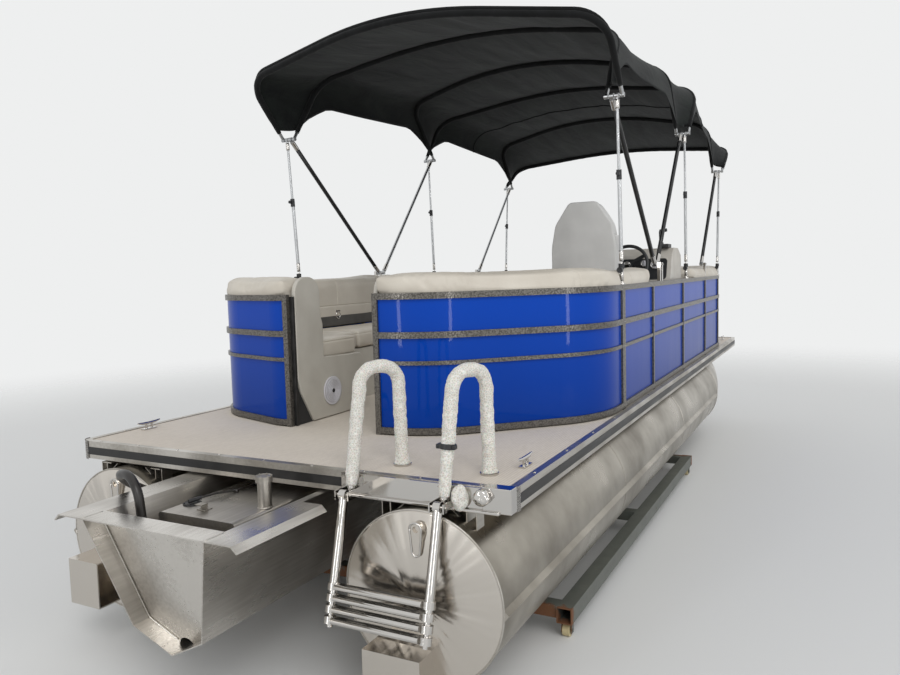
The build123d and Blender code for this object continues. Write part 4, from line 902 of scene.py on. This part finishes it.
class BOAT_OT_stern_trim(bpy.types.Operator):
    """Ladder treads, stern lip, foam on the rails and hinges, strap, corner caps, cleats and edge screws"""
    bl_idname = "boat.stern_trim"
    bl_label = "Stern trim"

    def execute(self, context):
        lean = math.radians(15)
        down = Vector((-math.sin(lean), 0, -math.cos(lean)))
        turn = Matrix((PORT, down.cross(PORT), down)).transposed().to_4x4()
        for number, section in enumerate(("upper", "second", "third", "fourth")):
            place = at(-84, -712.5, -68) + down * (352 + 42 * number) / 1000
            tread = cube(Matrix.Translation(place) @ turn, (0.34, 0.030, 0.0246))
            settle(tread, f"tread_{number + 1}", "rubber", False, 0.002, body=f"ladder_{section}")
        settle(slab((-29, -1150, -92), (-13, -440, -80)), "stern_lip", "steel", False, 0.004)
        for number, (rear_y, front_y) in enumerate(((-505, -615), (-930, -1018)), 1):
            sweep = front_y - rear_y
            corners = [at(-40, rear_y + 0.02 * sweep, -38), at(18, rear_y + 0.27 * sweep, 430),
                       at(177, front_y - 0.03 * sweep, 430), at(185, front_y, 9)]

            def thickness(u):
                """Narrow at the foot, drawn in by the strap on the outer rail, and wide at the deck."""
                waist = math.exp(-((u - 0.10) / 0.07) ** 2) if rear_y < -900 else 0.0
                foot, flare = max(0.0, 1 - u / 0.05), max(0.0, (u - 0.94) / 0.06)
                return 0.0275 - 0.004 * waist - 0.007 * foot + 0.008 * flare ** 2

            sleeve = pipe(evenly(rounded(corners, [0.078, 0.078]), 170), thickness, 36)
            sleeve.normal_update()
            for vert in sleeve.verts:
                lump = 0.0032 * noise.noise(vert.co * 34) + 0.0016 * noise.noise(vert.co * 95)
                vert.co += vert.normal * (lump * min(1.0, max(0.0, (vert.co.z - at(0, 0, -38).z) / 0.03)))
            settle(sleeve, f"foam_sleeve_{number}", "foam", replaces=["foam_sleeves"])
        settle(ball(at(-26, -990, -42), (0.024, 0.036, 0.050), 0.007, 45), "hinge_foam_wrap", "foam")
        settle(ball(at(-32, -1084, -28), (0.026, 0.034, 0.032), 0.005, 60), "hinge_knob", "steel")
        strap = join(puck(at(-16.5, -940.5, 151), (0.12, -0.05, 1), 0.034, 0.021, 32),
                     slab((-34, -915, 142), (0, -897, 160)), slab((-40, -980, 143), (-12, -968, 158)))
        settle(strap, "foam_strap", "dash", False, 0.003)
        caps = bmesh.new()
        for sign, _ in SIDES:
            def place(u, v):
                a = math.pi - sign * 0.5 * math.pi * u
                return at(61 + 62.5 * math.cos(a), sign * 1139 + 62.5 * math.sin(a), -87 + 95 * v)

            cap = draped(12, 4, place)
            bmesh.ops.solidify(cap, geom=cap.faces[:], thickness=0.002)
            join(caps, cap)
        settle(caps, "corner_caps", "steel", False)
        settle(slab((-17, -1196, -88), (40, -1078, 8)), "stern_corner_box", "steel", False, 0.003)
        cleats, screws = bmesh.new(), bmesh.new()
        for x in (354, 6180):
            for sign, _ in SIDES:
                y = sign * 1105
                horn = [at(x + dx, y, z) for dx, z in ((-75, 42), (-40, 37), (0, 36), (40, 37), (75, 42))]
                join(cleats, slab((x - 42, y - 15, 0), (x + 42, y + 15, 7)),
                     *(bar(at(x + dx, y, 5), at(x + dx, y, 36), 0.0065, 3, 12) for dx in (-18, 18)),
                     pipe(evenly(horn, 24), lambda u: 0.0085 * (1 - 0.55 * abs(2 * u - 1) ** 3), 14))
        settle(cleats, "cleat_castings", "steel", bevel=0.001, replaces=["cleats"])
        places = [(20, -1060 + 265 * i) for i in range(9)]
        places += [(260 + 400 * i, sign * 1180) for i in range(16) for sign, _ in SIDES]
        for x, y in places:
            join(screws, puck(at(x, y, 6), UP, 0.0065, 0.003, 12, 0.002))
        settle(screws, "edge_screws", "steel", bevel=0.0004)
        return {"FINISHED"}


PANEL_POINTS = [(839, 4), (740, 170), (713, 250), (713, 806), (933, 806), (933, 590), (951, 540), (951, 352),
                (1372, 338), (1300, 190), (1262, 4)]
PANEL_RADII = [20, 30, 95, 95, 25, 25, 12, 45, 60]
PANEL_FACES = {"port": 375, "starboard": 176}      # how far out from the middle each panel's outer face is


class BOAT_OT_lounge_trim(bpy.types.Operator):
    """Moulded end panels with speaker grilles and foot wedges, and dark panels under the aft rolls that paint the
    shade in the hollow there
    """
    bl_idname = "boat.lounge_trim"
    bl_label = "Lounge trim"

    def execute(self, context):
        for sign, side in SIDES:
            outer = PANEL_FACES[side]
            face, gap_y, facing = outer - 25, sign * (outer - 13), (0, -sign, 0)
            line = rounded([Vector((x, z, 0)) for x, z in PANEL_POINTS], PANEL_RADII)
            panel = plate([at(p.x, sign * outer, p.y) for p in line], PORT * -sign * 0.025)
            settle(panel, f"end_panel_{side}", "base", False, 0.006, ["lounge_end_panels"])
            plane, front, tip = (at(1013, sign * (face - depth), 150) for depth in (4, 8, 9))
            rings = [pipe(circle(front, FORE, UP, 0.013 * ring), 0.0022, 6) for ring in range(1, 6)]
            settle(join(puck(plane, facing, 0.082, 0.008, 56, 0.006), *rings), f"speaker_grille_{side}", "grille")
            settle(puck(tip, facing, 0.012, 0.006, 24, 0.002), f"speaker_centre_{side}", "dash")
            settle(slab((693, gap_y - 10, 3), (712, gap_y + 10, 702)), f"gate_gasket_{side}", "rubber", False, 0.002)
            wedge = [at(x, sign * (face + 12), z) for x, z in ((700, 2), (836, 2), (742, 167), (712, 242))]
            settle(plate(wedge, PORT * sign * 0.045), f"foot_wedge_{side}", "dash", False, 0.002)
        # Painted shade: a dark sheet where the hollow under each aft roll lies in shadow, with a latch on it
        for (sign, side), front_x in zip(SIDES, (2540, 2300)):
            painted_shade_panel = slab((1345, sign * 946 - 1, 452), (front_x, sign * 960 + 1, 600))
            settle(painted_shade_panel, f"under_roll_shade_panel_{side}", "painted_shade_panel", False, 0.008)
            x, y = 1921, sign * 946
            latch = join(pipe(circle(at(x, sign * 944, 530), FORE, UP, 0.024, 24), 0.004, 10),
                         slab((x - 26, y - 3, 552), (x + 26, y + 3, 566)))
            settle(latch, f"under_roll_latch_{side}", "steel", bevel=0.001)
        return {"FINISHED"}


class BOAT_OT_fence_trim(bpy.types.Operator):
    """Rivets where the fence's rails cross its posts"""
    bl_idname = "boat.fence_trim"
    bl_label = "Fence trim"

    def execute(self, context):
        for sign, side in SIDES:
            rivets = bmesh.new()
            for x in (1737, 1769, 2526, 3589, 4659, 5452):
                for z, y in ((24, 1162), (365, 1160.5), (504, 1163), (698, 1162)):
                    join(rivets, puck(at(x, sign * y, z), (0, sign, 0), 0.0045, 0.003, 12, 0.0015))
            settle(rivets, f"fence_rivets_{side}", "steel", bevel=0.0003)
        return {"FINISHED"}


class BOAT_OT_helm_trim(bpy.types.Operator):
    """Gauges, switches and throttle of the helm, and the wheel's cap"""
    bl_idname = "boat.helm_trim"
    bl_label = "Helm trim"

    def execute(self, context):
        low, high = at(3337, -800, 711), at(3393, -800, 879)        # the dash's lower and upper edge
        up = (high - low).normalized()
        out = Vector((-up.z, 0, up.x))
        middle = low.lerp(high, 0.5)
        bezels, dials, needles, switches = (bmesh.new() for _ in range(4))
        for dy, dz, radius in ((0.19, 0.035, 0.036), (-0.19, 0.035, 0.036), (0.105, 0.045, 0.026),
                               (-0.105, 0.045, 0.026)):
            spot = middle + PORT * dy + up * dz + out * 0.008
            hand = (up + PORT * 0.6).normalized() * radius * 0.75
            join(bezels, pipe(circle(spot + out * 0.004, PORT, up, radius), 0.0035, 8))
            join(dials, puck(spot + out * 0.002, out, radius, 0.004, 32))
            join(needles, bar(spot + out * 0.006, spot + out * 0.006 + hand, 0.0012, 2, 6))
        settle(bezels, "gauge_bezels", "steel")
        settle(dials, "gauge_faces", "grille")
        settle(needles, "gauge_needles", "dash")
        for i in range(5):
            spot = middle + PORT * (0.12 + 0.032 * i) - up * 0.045 + out * 0.011
            join(switches, cube(Matrix.Translation(spot), (0.012, 0.018, 0.03)))
        settle(switches, "rocker_switches", "rubber", False, 0.002)
        elbow = at(3450, -1004, 1085)
        throttle = join(slab((3420, -1075, 955), (3540, -1020, 985)), puck(at(3480, -1015, 975), PORT, 0.026, 0.02),
                        bar(at(3480, -1004, 975), elbow, lambda u: 0.009 - 0.003 * u, 8),
                        bar(elbow, at(3450, -1060, 1092), 0.013))
        settle(throttle, "throttle", "dash", bevel=0.003)
        settle(puck(middle + out * 0.1245, out, 0.026, 0.004, 32, 0.006), "wheel_cap", "steel", bevel=0.001,
               body="steering")
        return {"FINISHED"}


# Stage ----------------------------------------------------------------------


class BoatStageSettings(bpy.types.PropertyGroup):
    key: bpy.props.FloatProperty(name="Key light", description="Strength of the sun-like main light",
                                 default=0.9, min=0.0, max=10.0)
    sky: bpy.props.FloatProperty(name="Sky", description="Strength of the light from all round",
                                 default=0.72, min=0.0, max=2.0)
    strips: bpy.props.FloatProperty(name="Strip lights", description="Power of each tall strip light",
                                    default=60.0, min=0.0, unit="POWER")


def lamp(name, kind, place, aim, **settings):
    """Hang a lamp at a place, looking at a point."""
    light = bpy.data.lights.new(name, kind)
    for setting, value in settings.items():
        setattr(light, setting, value)
    hung = bpy.data.objects.new(name, light)
    hung.location = place
    hung.rotation_euler = (Vector(aim) - Vector(place)).to_track_quat("-Z", "Y").to_euler()
    bpy.context.scene.collection.objects.link(hung)


class BOAT_OT_stage(bpy.types.Operator):
    """Floor, soft studio light and the camera"""
    bl_idname = "boat.stage"
    bl_label = "Stage"

    def execute(self, context):
        settings = context.scene.boat_stage
        scene = context.scene
        scene.view_settings.view_transform = "Standard"
        camera = bpy.data.cameras.new("camera")
        camera.lens, camera.sensor_width, camera.clip_end = 30.12, 36.0, 200
        eye = bpy.data.objects.new("camera", camera)
        # Facing the bow, then turned to port, tipped down and rolled
        yaw, tip, roll = (math.radians(angle) for angle in (27.51, 4.79, -1.6))
        level = Matrix((-PORT, UP, -FORE)).transposed().to_4x4()
        eye.matrix_world = (Matrix.Translation((-5.4165, -2.253, 1.738)) @ Matrix.Rotation(yaw, 4, "Z") @
                            Matrix.Rotation(tip, 4, "Y") @ level @ Matrix.Rotation(roll, 4, "Z"))
        scene.collection.objects.link(eye)
        scene.camera = eye

        # A pale matt floor that fades into the white background from 6 m out
        bm = bmesh.new()
        bmesh.ops.create_grid(bm, x_segments=4, y_segments=4, size=30, matrix=Matrix.Translation((0, 0, -0.0005)))
        floor = made_object("studio_floor", bm)
        material, tree, place = begin("matt pale studio floor", "#DCDCDA", 0.8)
        reach = add(tree, "VectorMath", {0: place}, "Value", operation="LENGTH")
        fade = add(tree, "MapRange", {"Value": reach, "From Min": 6.0, "From Max": 13.0},
                   interpolation_type="SMOOTHSTEP")
        both = add(tree, "MixShader", {0: fade, 1: tree.nodes["Principled BSDF"].outputs[0],
                                       2: add(tree, "BsdfTransparent")})
        tree.links.new(both, tree.nodes["Material Output"].inputs["Surface"])
        floor.data.materials.append(material)

        world = bpy.data.worlds.new("studio")
        scene.world = world
        world.use_nodes = True
        tree = world.node_tree
        tree.nodes.remove(tree.nodes["Background"])
        path = add(tree, "LightPath").node.outputs
        seen = maths(tree, "MAXIMUM", path["Is Camera Ray"], path["Is Glossy Ray"])
        seen = maths(tree, "MAXIMUM", seen, path["Is Transmission Ray"])
        soft = add(tree, "Background", {"Color": linear("#F1F3F6"), "Strength": settings.sky})
        shown = add(tree, "Background", {"Color": linear("#EEEFEF"), "Strength": 1.0})
        both = add(tree, "MixShader", {0: seen, 1: soft, 2: shown})
        tree.links.new(both, tree.nodes["World Output"].inputs["Surface"])

        lamp("key", "SUN", (-6, -5, 9), (0, 0, 1), energy=settings.key, angle=math.radians(30))
        for number, place in enumerate(((-8.5, -6.5, 2.6), (-10.0, 1.0, 2.6), (-3.0, -8.5, 2.6)), 1):
            lamp(f"strip_{number}", "AREA", place, (0, 0, 1.4), energy=settings.strips, shape="RECTANGLE",
                 size=0.5, size_y=4.0)
        return {"FINISHED"}


class BOAT_PT_panel(bpy.types.Panel):
    """The boat's pieces, in the sidebar"""
    bl_label = "Pontoon boat"
    bl_idname = "BOAT_PT_panel"
    bl_space_type = "VIEW_3D"
    bl_region_type = "UI"
    bl_category = "Boat"

    def draw(self, context):
        for operator in PIECES:
            self.layout.operator(operator.bl_idname)
        for group, settings in GROUPS.items():
            for name in settings.__annotations__:
                self.layout.prop(getattr(context.scene, group), name)


PIECES = (BOAT_OT_stage, BOAT_OT_finishes, BOAT_OT_canopy, BOAT_OT_top_frame, BOAT_OT_upholstery, BOAT_OT_chair,
          BOAT_OT_pontoon_trim, BOAT_OT_pod_trim, BOAT_OT_stern_trim, BOAT_OT_lounge_trim, BOAT_OT_fence_trim,
          BOAT_OT_helm_trim)
GROUPS = {"boat_finish": BoatFinishSettings, "boat_canopy": BoatCanopySettings, "boat_stage": BoatStageSettings}
CLASSES = (*GROUPS.values(), *PIECES, BOAT_PT_panel)


def register():
    for cls in CLASSES:
        bpy.utils.register_class(cls)
    for name, group in GROUPS.items():
        setattr(bpy.types.Scene, name, bpy.props.PointerProperty(type=group))


def unregister():
    for name in GROUPS:
        delattr(bpy.types.Scene, name)
    for cls in reversed(CLASSES):
        bpy.utils.unregister_class(cls)


def main():
    register()
    for operator in PIECES:
        group, name = operator.bl_idname.split(".")
        getattr(getattr(bpy.ops, group), name)()


if __name__ == "__main__":
    main()
